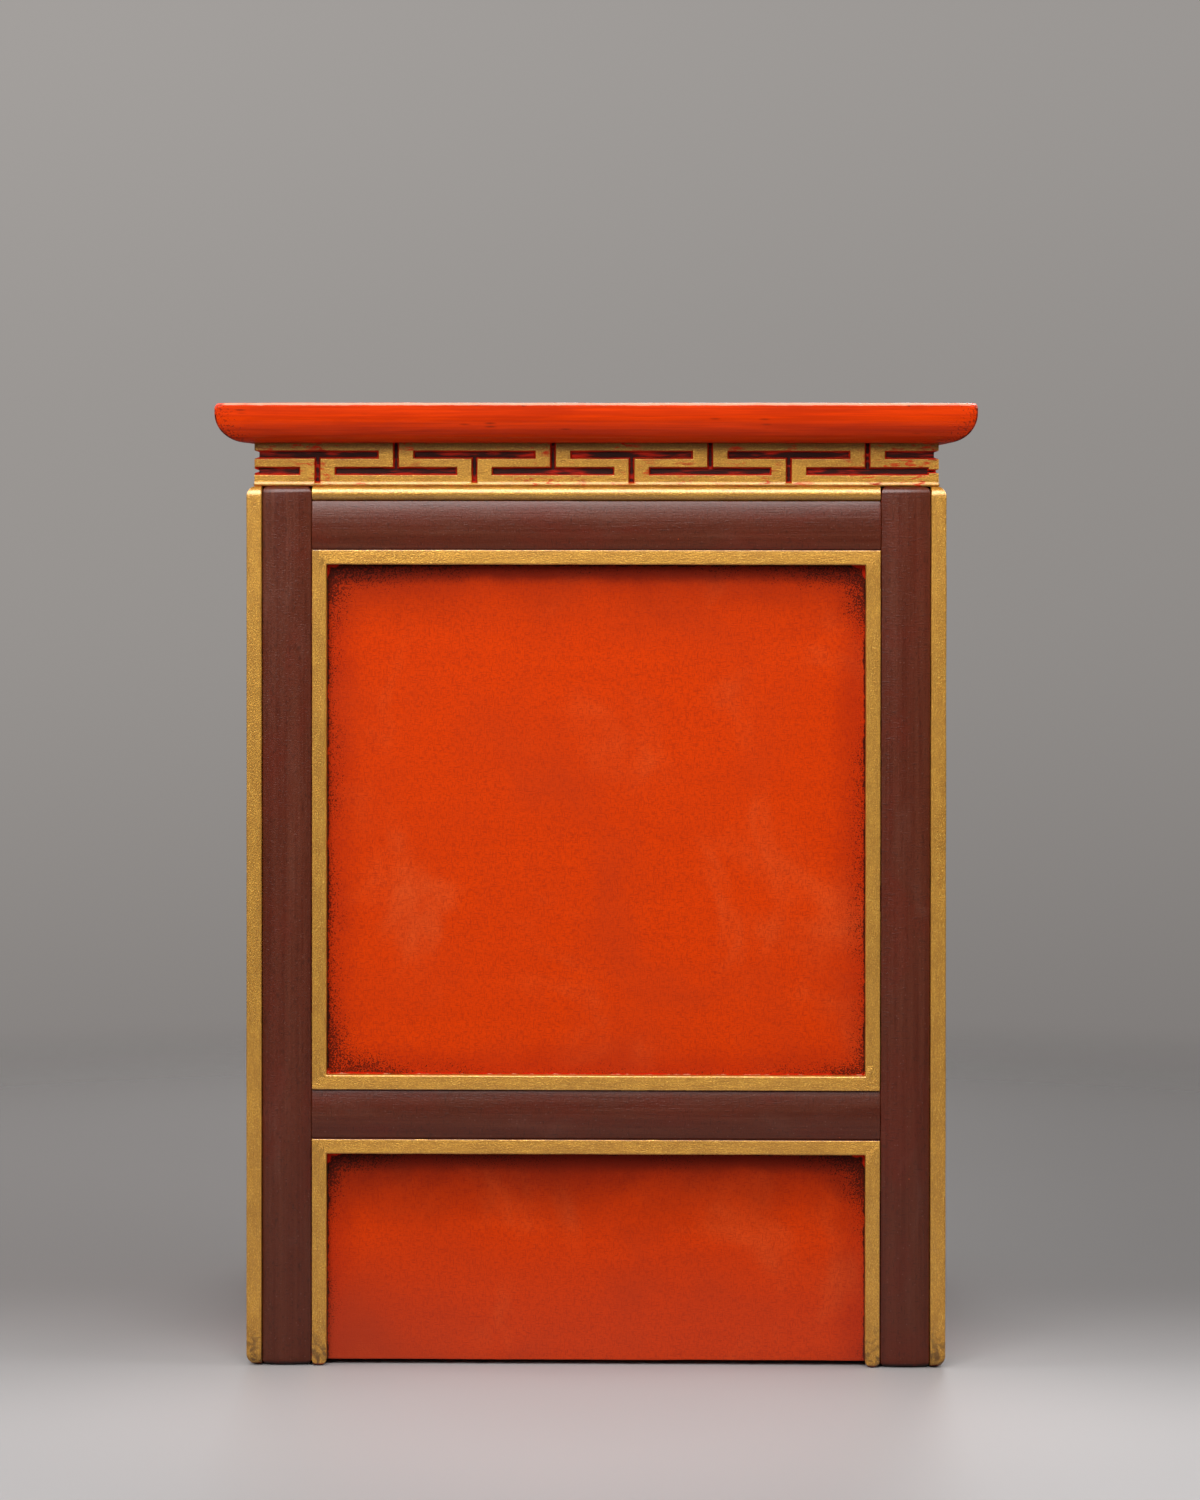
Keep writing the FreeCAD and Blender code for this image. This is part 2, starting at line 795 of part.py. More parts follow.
# Door stop: a strip under the upper rail that the closed door rests against.
def make_door_stop():
    body = new_body("door_stop")
    section = new_sketch(body, "YZ_Plane")
    near = "(" + DOOR_BACK + " + stop_gap)"
    box_outline(section, near, UPPER_RAIL_BASE + " - stop_height", near + " + stop_depth", UPPER_RAIL_BASE)
    pad(body, section, "body_width - 2 * %s - 2 * stop_setback" % POST, both_ways=True)
    stand_on_face(body, "front")


def solid_box(name, x, y, z, length, width, height):
    """A box whose low corner and sides are expressions."""
    item = doc.addObject("Part::Box", name)
    for prop, text in (("Length", length), ("Width", width), ("Height", height)):
        tie(item, prop, text)
    for axis, text in (("x", x), ("y", y), ("z", z)):
        tie(item, "Placement.Base." + axis, text)
    return item


AXIS_TURNS = {
    "x": FreeCAD.Rotation(FreeCAD.Vector(0, 1, 0), 90),
    "-x": FreeCAD.Rotation(FreeCAD.Vector(0, 1, 0), -90),
    "y": FreeCAD.Rotation(FreeCAD.Vector(1, 0, 0), -90),
    "z": FreeCAD.Rotation(),
}


def solid_round(name, axis, x, y, z, radius, height, end_radius=None):
    """A cylinder, or a cone where end_radius is given, from a point along an axis."""
    if end_radius is None:
        item = doc.addObject("Part::Cylinder", name)
        tie(item, "Radius", radius)
    else:
        item = doc.addObject("Part::Cone", name)
        tie(item, "Radius1", radius)
        tie(item, "Radius2", end_radius)
    tie(item, "Height", height)
    item.Placement = FreeCAD.Placement(FreeCAD.Vector(0, 0, 0), AXIS_TURNS[axis])
    for letter, text in (("x", x), ("y", y), ("z", z)):
        tie(item, "Placement.Base." + letter, text)
    return item


def solid_ball(name, x, y, z, radius):
    item = doc.addObject("Part::Sphere", name)
    tie(item, "Radius", radius)
    for axis, text in (("x", x), ("y", y), ("z", z)):
        tie(item, "Placement.Base." + axis, text)
    return item


def joined(name, items):
    item = doc.addObject("Part::MultiFuse", name)
    item.Shapes = items
    return item


def cut(name, base, tools):
    """One shape less one or more others."""
    item = doc.addObject("Part::Cut", name)
    item.Base = base
    item.Tool = tools[0] if len(tools) == 1 else joined(name + "_tools", tools)
    return item


def node(label, items):
    """Name a piece, or a group of like pieces, as one node."""
    if len(items) == 1:
        item = items[0]
    else:
        item = doc.addObject("Part::Compound", label + "_group")
        item.Links = items
    item.Label = label
    NODES[label] = item
    return item


HINGE_Y = "(-" + DOOR_FACE_Y + " - knuckle_stand_out)"
HINGE_AT = "(-" + HINGE_X + ")"


# Hinge leaves: a plate and a barrel, cut away where the other leaf's knuckles turn.
def make_hinge_leaves(label, plate_x, owns_ends, screw_axis):
    third = "hinge_length / 3"
    leaves = []
    for number, middle in enumerate(hinge_places()):
        name = label + "_%d" % number
        base = middle + " - hinge_length / 2"
        plate = solid_box(
            name + "_plate",
            plate_x,
            HINGE_Y,
            base,
            "hinge_leaf_thickness",
            "hinge_leaf_reach + knuckle_stand_out",
            "hinge_length",
        )
        barrel = solid_round(
            name + "_barrel", "z", HINGE_AT, HINGE_Y, base, "knuckle_radius", "hinge_length"
        )
        whole = joined(name + "_whole", [plate, barrel])
        room = "knuckle_radius + knuckle_clearance"
        tools = []
        if owns_ends:
            tools.append(
                solid_round(
                    name + "_room",
                    "z",
                    HINGE_AT,
                    HINGE_Y,
                    base + " + " + third + " - knuckle_end_gap",
                    room,
                    third + " + 2 * knuckle_end_gap",
                )
            )
            bore = "pin_radius"
        else:
            for step, low in enumerate((base, base + " + 2 * " + third)):
                tools.append(
                    solid_round(name + "_room_%d" % step, "z", HINGE_AT, HINGE_Y, low, room, third)
                )
            bore = "pin_radius + pin_play"
        tools.append(
            solid_round(name + "_bore", "z", HINGE_AT, HINGE_Y, base, bore, "hinge_length")
        )
        for sign in (" - ", " + "):
            start_x = plate_x if screw_axis == "x" else plate_x + " + hinge_leaf_thickness"
            tools.append(
                solid_round(
                    name + "_sink",
                    screw_axis,
                    start_x,
                    "-%s + hinge_leaf_reach - screw_setback" % DOOR_FACE_Y,
                    middle + sign + "screw_spacing / 2",
                    "screw_head_radius",
                    "hinge_leaf_thickness",
                    "screw_radius",
                )
            )
        leaves.append(cut(name, whole, tools))
    node(label, leaves)


def make_hinge_pins():
    pins = []
    for number, middle in enumerate(hinge_places()):
        name = "hinge_pin_%d" % number
        low = middle + " - hinge_length / 2"
        high = middle + " + hinge_length / 2"
        shaft = solid_round(
            name + "_shaft", "z", HINGE_AT, HINGE_Y, low, "pin_radius", "hinge_length"
        )
        tips = []
        for place, sign in ((low, " - "), (high, " + ")):
            ball = solid_ball(
                name + "_tip", HINGE_AT, HINGE_Y, place + sign + "pin_tip_radius", "pin_tip_radius"
            )
            neck_base = place if sign == " + " else place + " - pin_tip_radius"
            neck = solid_round(
                name + "_neck", "z", HINGE_AT, HINGE_Y, neck_base, "pin_radius", "pin_tip_radius"
            )
            tips += [ball, neck]
        pins.append(joined(name, [shaft] + tips))
    node("hinge_pins", pins)


# Hinge screws: flush countersunk heads with their shanks in the post or in the door's edge.
def make_hinge_screws(label, start_x, axis):
    sign = " + " if axis == "x" else " - "
    screws = []
    for number, (inset, height) in enumerate(screw_places()):
        name = label + "_%d" % number
        y = "-" + DOOR_FACE_Y + " + " + inset
        head = solid_round(
            name + "_head",
            axis,
            start_x,
            y,
            height,
            "screw_head_radius",
            "hinge_leaf_thickness",
            "screw_radius",
        )
        shank = solid_round(
            name + "_shank",
            axis,
            start_x + sign + "hinge_leaf_thickness",
            y,
            height,
            "screw_radius",
            "screw_length - 2 * hinge_leaf_thickness",
        )
        screws.append(joined(name, [head, shank]))
    node(label, screws)


PULL_AT_Y = "(-" + DOOR_FACE_Y + " + pull_eye_inset)"


# Ring pull: a round backplate, an eye bolt through the door, its nut and a hanging ring.
def make_pull():
    plate_y = "-%s + panel_inset - pull_plate_thickness" % DOOR_FACE_Y
    hole = "pull_shank_radius + pull_shank_play"
    face = "pull_plate_thickness - pull_plate_arris"
    rim = solid_round(
        "plate_rim", "y", PULL_X, plate_y, DOOR_MIDDLE,
        "pull_plate_radius - pull_plate_arris", "pull_plate_arris", "pull_plate_radius",
    )
    disc = solid_round(
        "plate_disc", "y", PULL_X, plate_y + " + pull_plate_arris", DOOR_MIDDLE,
        "pull_plate_radius", face,
    )
    bore = solid_round(
        "plate_bore", "y", PULL_X, plate_y, DOOR_MIDDLE, hole, "pull_plate_thickness"
    )
    node("pull_plate", [cut("plate_bored", joined("plate_whole", [rim, disc]), [bore])])

    eye = solid_round(
        "eye_barrel", "x", PULL_X + " - pull_eye_length / 2", PULL_AT_Y, DOOR_MIDDLE,
        "pull_eye_radius", "pull_eye_length",
    )
    shank_length = DOOR_BACK + " - pull_eye_inset + pull_nut_thickness + pull_shank_tail"
    shank = solid_round(
        "eye_shank", "y", PULL_X, PULL_AT_Y, DOOR_MIDDLE, "pull_shank_radius", shank_length
    )
    eye_bore = solid_round(
        "eye_bore", "x", PULL_X + " - pull_eye_length / 2", PULL_AT_Y, DOOR_MIDDLE,
        "ring_wire_radius + ring_play", "pull_eye_length",
    )
    node("pull_eye", [cut("eye_bored", joined("eye_whole", [eye, shank]), [eye_bore])])

    nut_y = "-%s + %s" % (DOOR_FACE_Y, DOOR_BACK)
    nut = solid_round(
        "nut_body", "y", PULL_X, nut_y, DOOR_MIDDLE, "pull_nut_radius", "pull_nut_thickness"
    )
    nut_bore = solid_round(
        "nut_bore", "y", PULL_X, nut_y, DOOR_MIDDLE, "pull_shank_radius", "pull_nut_thickness"
    )
    node("pull_nut", [cut("nut_bored", nut, [nut_bore])])

    drop = "sqrt(ring_radius ^ 2 - ring_bar_length ^ 2 / 4)"
    ring = doc.addObject("Part::Torus", "ring_round")
    tie(ring, "Radius1", "ring_radius")
    tie(ring, "Radius2", "ring_wire_radius")
    ring.Placement = FreeCAD.Placement(FreeCAD.Vector(0, 0, 0), AXIS_TURNS["y"])
    for letter, text in (("x", PULL_X), ("y", PULL_AT_Y), ("z", DOOR_MIDDLE + " - " + drop)):
        tie(ring, "Placement.Base." + letter, text)
    span = "(ring_radius + 2 * ring_wire_radius)"
    cap = solid_box(
        "ring_cap", PULL_X + " - " + span, PULL_AT_Y + " - " + span, DOOR_MIDDLE,
        "2 * " + span, "2 * " + span, span,
    )
    bow = cut("ring_bow", ring, [cap])
    bar = solid_round(
        "ring_bar", "x", PULL_X + " - ring_bar_length / 2", PULL_AT_Y, DOOR_MIDDLE,
        "ring_wire_radius", "ring_bar_length",
    )
    ends = [
        solid_ball(
            "ring_end", PULL_X + sign + "ring_bar_length / 2", PULL_AT_Y, DOOR_MIDDLE,
            "ring_wire_radius",
        )
        for sign in (" - ", " + ")
    ]
    node("pull_ring", [joined("ring_whole", [bow, bar] + ends)])


# Catch: a magnet block on the latch-side post and a steel strike on the door's back.
def make_catch():
    y = "-%s + %s" % (DOOR_FACE_Y, DOOR_BACK)
    block_x = "body_width / 2 - %s - catch_width" % POST
    low = DOOR_MIDDLE + " - catch_height / 2"
    block = solid_box(
        "magnet_block", block_x, y + " + strike_thickness + strike_gap", low,
        "catch_width", "catch_depth", "catch_height",
    )
    node("catch_magnet", [block])
    strike = solid_box(
        "strike_blank", block_x + " - door_gap", y, low,
        "catch_width", "strike_thickness", "catch_height",
    )
    node("catch_strike", [strike])


make_top_board()
make_top_battens()
for face_name in FACES:
    make_frieze(face_name)
for corner_name in CORNERS:
    make_post(corner_name)
    make_corner_strip(corner_name)
for face_name in FACES:
    panelled = face_name in PANELLED
    make_rail(
        face_name, "upper_rail", UPPER_RAIL_BASE, "upper_rail_height", "bead_height", False, panelled
    )
    make_rail(
        face_name, "lower_rail", "lower_rail_base", "lower_rail_height", None, panelled, True
    )
    make_bead(face_name)
    make_apron(face_name)
    make_apron_moulding(face_name)
for face_name in PANELLED:
    make_panel(face_name)
    make_frame_moulding(face_name)
make_floor_board()
make_cleats("floor_cleats", RAIL_BACK, LOWER_RAIL_TOP)
make_shelf()
make_cleats("shelf_cleats", PANEL_BACK, LOWER_RAIL_TOP + " + shelf_rise")
make_door_panel()
make_door_moulding()
make_door_battens()
make_door_stop()
CASE_LEAF_X = "(-body_width / 2 + %s)" % POST
DOOR_LEAF_X = "(-" + DOOR_HALF + ")"
make_hinge_leaves("hinge_leaves_case", CASE_LEAF_X, True, "-x")
make_hinge_leaves("hinge_leaves_door", DOOR_LEAF_X, False, "x")
make_hinge_pins()
make_hinge_screws("hinge_screws_case", CASE_LEAF_X + " + hinge_leaf_thickness", "-x")
make_hinge_screws("hinge_screws_door", DOOR_LEAF_X, "x")
make_pull()
make_catch()

doc.recompute()
for item in doc.Objects:
    if "Invalid" in item.State or "Error" in item.State:
        sys.exit("%s (%s) failed: %s" % (item.Name, item.Label, item.State))
for label, item in NODES.items():
    if item.Shape.isNull() or not item.Shape.isValid() or not item.Shape.Solids:
        sys.exit(label + " has no valid solid")

os.makedirs("parts", exist_ok=True)
for label, item in NODES.items():
    item.Shape.exportStep("parts/" + label + ".step")
    box = item.Shape.BoundBox
    print(
        "%-28s %2d solids  %9.1f mm3  x %.1f..%.1f  y %.1f..%.1f  z %.1f..%.1f"
        % (
            label, len(item.Shape.Solids), item.Shape.Volume,
            box.XMin, box.XMax, box.YMin, box.YMax, box.ZMin, box.ZMax,
        )
    )
print(len(NODES), "nodes")
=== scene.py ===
import math

import bmesh
import bpy
import numpy as np
from bmesh.types import BMEdge, BMFace, BMVert
from bpy.props import FloatProperty, FloatVectorProperty, PointerProperty
from bpy.types import Operator, Panel, PropertyGroup
from mathutils import Matrix, Vector, noise


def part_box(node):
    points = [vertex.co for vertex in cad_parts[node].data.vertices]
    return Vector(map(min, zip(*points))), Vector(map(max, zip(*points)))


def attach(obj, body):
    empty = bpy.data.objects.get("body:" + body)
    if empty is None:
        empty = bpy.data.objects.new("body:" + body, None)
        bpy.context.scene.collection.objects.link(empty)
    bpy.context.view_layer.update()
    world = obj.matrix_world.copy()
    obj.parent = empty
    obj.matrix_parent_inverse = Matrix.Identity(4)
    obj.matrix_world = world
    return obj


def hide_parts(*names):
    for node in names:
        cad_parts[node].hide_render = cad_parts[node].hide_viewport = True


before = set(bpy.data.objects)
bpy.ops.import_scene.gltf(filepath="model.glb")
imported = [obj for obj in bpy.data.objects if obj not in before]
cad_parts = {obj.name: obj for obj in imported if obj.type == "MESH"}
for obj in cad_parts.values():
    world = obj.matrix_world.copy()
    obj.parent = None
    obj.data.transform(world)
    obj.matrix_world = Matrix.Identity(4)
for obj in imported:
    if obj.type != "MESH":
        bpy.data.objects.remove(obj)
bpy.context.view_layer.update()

bl_info = {
    "name": "Painted cabinet with a fret frieze",
    "version": (1, 0, 0),
    "blender": (4, 5, 0),
    "location": "View3D > Sidebar > Cabinet",
    "description": "Builds the finished pieces of the cabinet around its packed frame",
    "category": "Object",
}


def low(node):
    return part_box(node)[0]


def high(node):
    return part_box(node)[1]


def paint(red, green, blue):
    """A colour from its values on the screen, 0 to 255."""
    values = []
    for value in (red / 255, green / 255, blue / 255):
        values.append(value / 12.92 if value <= 0.04045 else ((value + 0.055) / 1.055) ** 2.4)
    return (*values, 1.0)


def size(name, text, default):
    return FloatProperty(
        name=name, description=text, default=default, min=0, unit="LENGTH", subtype="DISTANCE"
    )


def colour(name, text, *screen):
    return FloatVectorProperty(
        name=name, description=text, default=paint(*screen), size=4, min=0, max=1, subtype="COLOR"
    )


class CabinetSizes(PropertyGroup):
    """Sizes of the case and of its worked edges."""

    reach: size("Reach", "From the middle to a face of the case", high("corner_strip_back_right").x)
    case_height: size("Case height", "Height of the posts", high("post_back_right").z)
    strip: size("Strip", "Width of a gold corner strip", 0.0095)
    strip_head: size("Strip head", "Rounding of a corner strip's head", 0.0058)
    strip_foot: size("Strip foot", "Rounding of a corner strip's foot", 0.0075)
    band_inset: size("Band inset", "From the face to a post's band", 0.003)
    band_crown: size("Band crown", "Bulge of a post's band", 0.002)
    band_end: size("Band end", "Rounding at the head and foot of a band", 0.0042)
    post: size("Post", "Width of a corner post", 0.0405)
    rail_inset: size("Rail inset", "From the face to a rail's edge", 0.0035)
    rail_crown: size("Rail crown", "Bulge of a rail's face", 0.0018)
    bead_crown: size("Bead crown", "Bulge of the gold bead", 0.0037)
    bead_end: size("Bead end", "Rounding of a bead's ends", 0.003)
    top_trim: size("Top trim", "How far the top board is planed inside its blank", 0.0018)
    top_skim: size("Top skim", "How far the top board's top is planed down", 0.0006)
    ovolo: size("Ovolo", "Radius under the top board", 0.018)
    arris: size("Arris", "Radius over the top board", 0.002)
    corner_wear: size("Corner wear", "How far the top's worn corners reach", 0.009)
    corner_drop: size("Corner drop", "How much is worn off those corners", 0.002)
    fret_inset: size("Fret inset", "From the face to the frieze", 0.0047)
    fret_depth: size("Fret depth", "Depth of the carved slots", 0.0028)
    fret_slope: size("Fret slope", "How far a slot narrows to its floor", 0.001)
    fret_period: size("Fret period", "From one T to the next", 0.0978)
    fret_lead: size("Fret lead", "From the left corner to the first bar", 0.0392)
    fret_slot: size("Fret slot", "Length of a T's level slot", 0.0764)
    fret_height: size("Fret slot height", "Height of a level slot", 0.0052)
    fret_bar: size("Fret bar", "Width of a T's upright bar", 0.0037)
    fret_upper: size("Upper slot", "From the frieze's foot to the upper slots", 0.017)
    fret_lower: size("Lower slot", "From the frieze's foot to the lower slots", 0.0068)
    fret_lip: size("Fret lip", "Height of the lip at the frieze's foot", 0.0021)
    fret_lip_reach: size("Lip reach", "How far that lip stands out", 0.0007)
    moulding: size("Moulding", "Width of a gold moulding", 0.0093)
    moulding_foot: size("Moulding foot", "Rounding of a moulding's foot", 0.0042)
    ease: size("Eased edge", "Rounding of a worked edge", 0.0007)
    waver: size("Waver", "How far hand work strays from true", 0.00016)
    stray: size("Stray", "How far apart the strayings are", 0.028)


class CabinetPaints(PropertyGroup):
    """Colours of the finishes."""

    top_red: colour("Top red", "Orange-red of the top board", 221, 58, 0)
    top_deep: colour("Top deep red", "Darker strokes on the top board", 166, 34, 2)
    # A painted highlight, laid as paint worn pale, on the top's edges and along the panels' feet.
    painted_edge_highlight: colour("Top rubbed", "Paint rubbed pale along the top's edges", 232, 168, 136)
    panel_red: colour("Panel red", "Orange-red of the panels", 213, 60, 0)
    panel_rosy: colour("Panel rosy", "Paler clouds on the panels", 222, 92, 38)
    # This colour is painted shadow, laid as a dark glaze under the top mouldings.
    panel_edge: colour("Panel edge", "Deep red round the panels", 140, 26, 10)
    panel_painted_shadow: colour("Panel shade", "Dark glaze under the mouldings", 92, 20, 8)
    # Real duller clouds, laid heavier towards the floor as painted shade.
    panel_smoke_and_shade: colour("Panel smoke", "Duller clouds on the panels", 168, 50, 18)
    bole: colour("Bole", "Red ground under the gold", 172, 34, 8)
    fresh_red: colour("Fresh red", "Red left bright in corners and on edges", 196, 34, 8)
    # Besides real dirt, grime is laid as painted shade: on the brown towards the floor and along its
    # joints, and on the brown and gold at the floor line.
    grime_and_shade: colour("Grime", "Dirt in corners", 24, 12, 8)
    gold: colour("Gold", "Gold paint", 203, 148, 50)
    gold_deep: colour("Deep gold", "Thin or rubbed gold paint", 150, 98, 22)
    gold_bright: colour("Bright gold", "Bright specks in the gold paint", 238, 194, 96)
    # Dim gold is painted shadow under the top board on the friezes, and real stains near the floor on
    # the gilt pieces.
    gold_stain_and_shadow: colour("Dim gold", "Gold dulled by smoke under the top", 82, 48, 12)
    brown: colour("Brown", "Brown paint of posts and rails", 78, 26, 8)
    brown_grey: colour("Grey brown", "Greyer strokes in the brown", 98, 46, 26)
    brown_red: colour("Red brown", "Redder patches in the brown", 96, 28, 10)
    brown_dust: colour("Dusty brown", "Pale specks in the brown", 142, 102, 88)
    wood: colour("Wood", "Inner wood", 150, 104, 62)
    wood_dark: colour("Dark wood", "Grain of the inner wood", 98, 60, 32)
    brass: colour("Brass", "Hinges and pull", 176, 134, 66)
    brass_dark: colour("Dark brass", "Tarnish", 92, 66, 34)
    steel: colour("Steel", "Strike and magnet", 150, 150, 150)
    steel_dark: colour("Dark steel", "Stains on the steel", 92, 88, 84)
    floor: colour("Floor", "Pale floor", 146, 144, 144)
    # The near, far and dark floor colours are painted light and shade on the floor.
    floor_painted_light: colour("Near floor", "Floor before the cabinet", 168, 163, 163)
    floor_painted_shade: colour("Far floor", "Floor behind the cabinet", 90, 87, 86)
    floor_painted_deep_shade: colour("Dark floor", "Floor in the darkest corner", 70, 67, 66)
    # The backdrop colours are painted light and shade: darker towards the floor.
    back_low: colour("Backdrop foot", "Backdrop near the floor", 127, 123, 121)
    back_middle: colour("Backdrop middle", "Backdrop half way up", 151, 147, 144)
    back_high: colour("Backdrop head", "Backdrop at the top", 161, 157, 154)



def sizes():
    return bpy.context.scene.cabinet_sizes


def paints():
    return bpy.context.scene.cabinet_paints


# Shaping

X, Y, Z = Vector((1, 0, 0)), Vector((0, 1, 0)), Vector((0, 0, 1))
# Lengths below HAIR don't count, and an edge is sharp from a turn of SHARP radians.
HAIR, SHARP = 1e-6, 0.6


def blank(bm, start, end):
    """A block between two corners."""
    start, end = Vector(start), Vector(end)
    place = Matrix.Translation((start + end) / 2) @ Matrix.Diagonal((*(end - start), 1))
    bmesh.ops.create_cube(bm, size=1, matrix=place)


def everything(bm):
    return bm.verts[:] + bm.edges[:] + bm.faces[:]


def only(items, kind):
    return [item for item in items if isinstance(item, kind)]


def as_mesh(bm, name):
    """Turns a worked piece into a mesh, and lets it go."""
    mesh = bpy.data.meshes.new(name)
    bm.to_mesh(mesh)
    bm.free()
    return mesh


def in_scene(name, data):
    """A new object, placed in the scene."""
    made = bpy.data.objects.new(name, data)
    bpy.context.scene.collection.objects.link(made)
    return made


def point_out(bm):
    """Turns all the faces of a closed shape outwards."""
    bmesh.ops.recalc_face_normals(bm, faces=bm.faces[:])


def merge_flats(bm):
    """Joins faces that lie in one plane."""
    bmesh.ops.dissolve_limit(
        bm, angle_limit=math.radians(0.5), verts=bm.verts[:], edges=bm.edges[:]
    )


def score(bm, axis, places):
    """Lines cut across a piece, so that its surface can stray between them."""
    normal = (X, Y, Z)[axis]
    for place in places:
        bmesh.ops.bisect_plane(
            bm, geom=everything(bm), dist=1e-7, plane_co=normal * place, plane_no=normal
        )


def steps(start, end, pitch):
    """Places from start to end, not counting them, about a pitch apart."""
    count = max(2, round((end - start) / pitch))
    return [start + (end - start) * number / count for number in range(1, count)]


def grade(bm, start, end, pitch, axes=(0, 2)):
    """Lines across a board in two directions, about a pitch apart."""
    for axis in axes:
        score(bm, axis, steps(start[axis], end[axis], pitch))


def saw(bm, point, normal):
    """Takes away what lies past a plane and closes the cut."""
    cut = bmesh.ops.bisect_plane(
        bm, geom=everything(bm), dist=1e-7, plane_co=point, plane_no=normal, clear_outer=True
    )
    bmesh.ops.holes_fill(bm, edges=only(cut["geom_cut"], BMEdge), sides=0)


def bar(bm, corners, bulges, shift):
    """A bar of one section, drawn out along shift.

    bulges says which of its sides bulge outwards, by how much, and in how many cuts.
    """
    middle = sum(corners, Vector()) / len(corners)
    bm.faces.new([bm.verts.new(corner) for corner in corners])
    for side, (rise, cuts) in bulges.items():
        start, end = corners[side], corners[(side + 1) % len(corners)]
        centre, half = (start + end) / 2, (end - start).length / 2
        along = (end - start).normalized()
        out = shift.cross(along).normalized()
        if out.dot(centre - middle) < 0:
            out = -out
        radius = half * half / (2 * rise) + rise / 2
        spread = math.asin(min(1, half / radius))
        edge = min(
            bm.edges, key=lambda edge: (edge.verts[0].co + edge.verts[1].co - 2 * centre).length
        )
        made = bmesh.ops.subdivide_edges(bm, edges=[edge], cuts=cuts)["geom_inner"]
        new = sorted(only(made, BMVert), key=lambda vert: (vert.co - start).length)
        for number, vert in enumerate(new, start=1):
            angle = spread * (2 * number / (cuts + 1) - 1)
            forward = along * radius * math.sin(angle)
            vert.co = centre + forward + out * (radius * math.cos(angle) - radius + rise)
    made = bmesh.ops.extrude_face_region(bm, geom=bm.faces[:])["geom"]
    bmesh.ops.translate(bm, verts=only(made, BMVert), vec=shift)
    point_out(bm)


def copy_of(node, place=None):
    """A clean copy of a node's mesh, to be worked on, in the directions of its face if it has one."""
    bm = bmesh.new()
    bm.from_mesh(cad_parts[node].data)
    bmesh.ops.remove_doubles(bm, verts=bm.verts[:], dist=HAIR)
    merge_flats(bm)
    if place is not None:
        bmesh.ops.transform(bm, matrix=place.inverted(), verts=bm.verts[:])
    return bm


def knit(bm, gap):
    """Joins lengths that meet at hairline mitres, as paint does."""
    bmesh.ops.remove_doubles(bm, verts=bm.verts[:], dist=gap)
    inside = [face for face in bm.faces if all(len(edge.link_faces) > 2 for edge in face.edges)]
    bmesh.ops.delete(bm, geom=inside, context="FACES_ONLY")
    merge_flats(bm)


def sharp_edges(bm, least):
    return [
        edge for edge in bm.edges if len(edge.link_faces) == 2 and edge.calc_face_angle(0) > least
    ]


def note_lines(bm):
    """The ridges and valleys of a piece before its edges are eased."""
    ridges, valleys = [], []
    for edge in sharp_edges(bm, SHARP):
        kept = ridges if edge.calc_face_angle_signed(0) > 0 else valleys
        kept.append([tuple(vert.co) for vert in edge.verts])
    return ridges, valleys


def run(edge, axis):
    """How far an edge runs along an axis."""
    return abs(edge.verts[0].co[axis] - edge.verts[1].co[axis])


def is_level(edge):
    return run(edge, 2) < HAIR


def halfway(edge):
    return (edge.verts[0].co + edge.verts[1].co) / 2


def ease(bm, radius, segments=3, least=SHARP, wanted=None, clamp=True):
    """Rounds the sharp edges of a piece."""
    edges = [edge for edge in sharp_edges(bm, least) if wanted is None or wanted(edge)]
    bmesh.ops.bevel(
        bm, geom=edges, offset=radius, offset_type="OFFSET", segments=segments, profile=0.5,
        affect="EDGES", material=-1, clamp_overlap=clamp,
    )


def stray(bm, amount, pitch, seed):
    """Moves a surface in and out a little, as hand work does."""
    bm.normal_update()
    shifts = []
    for vert in bm.verts:
        place = vert.co / pitch + Vector((seed * 7.3, seed * 3.1, seed * 5.7))
        push = noise.noise(place) + 0.4 * noise.noise(place * 3.7)
        shifts.append(vert.normal * push * amount)
    for vert, shift in zip(bm.verts, shifts):
        vert.co += shift


def nearest(points, lines):
    """How far each point is from the nearest of some lines, and never more than a metre."""
    best = np.full(len(points), 1.0)
    for a, b in np.array(lines, float).reshape(-1, 2, 3):
        d = b - a
        share = np.clip(((points - a) @ d) / max(d @ d, 1e-18), 0, 1)
        best = np.minimum(best, np.linalg.norm(points - a - share[:, None] * d, axis=1))
    return best


def keep_value(mesh, name, values):
    """Keeps a number or a vector for each point of a mesh."""
    kind, field = ("FLOAT", "value") if values.ndim == 1 else ("FLOAT_VECTOR", "vector")
    layer = mesh.attributes.new(name, kind, "POINT")
    layer.data.foreach_set(field, values.astype(np.float32).ravel())


# How a piece's own directions turn, so that x runs along the brush or the grain.
LEVEL = Matrix.Identity(3)
UPRIGHT = Matrix(((0, 0, 1), (1, 0, 0), (0, 1, 0)))
BOARD_ACROSS = Matrix(((1, 0, 0), (0, 0, 1), (0, 1, 0)))
BOARD_INWARDS = Matrix(((0, 1, 0), (0, 0, 1), (1, 0, 0)))


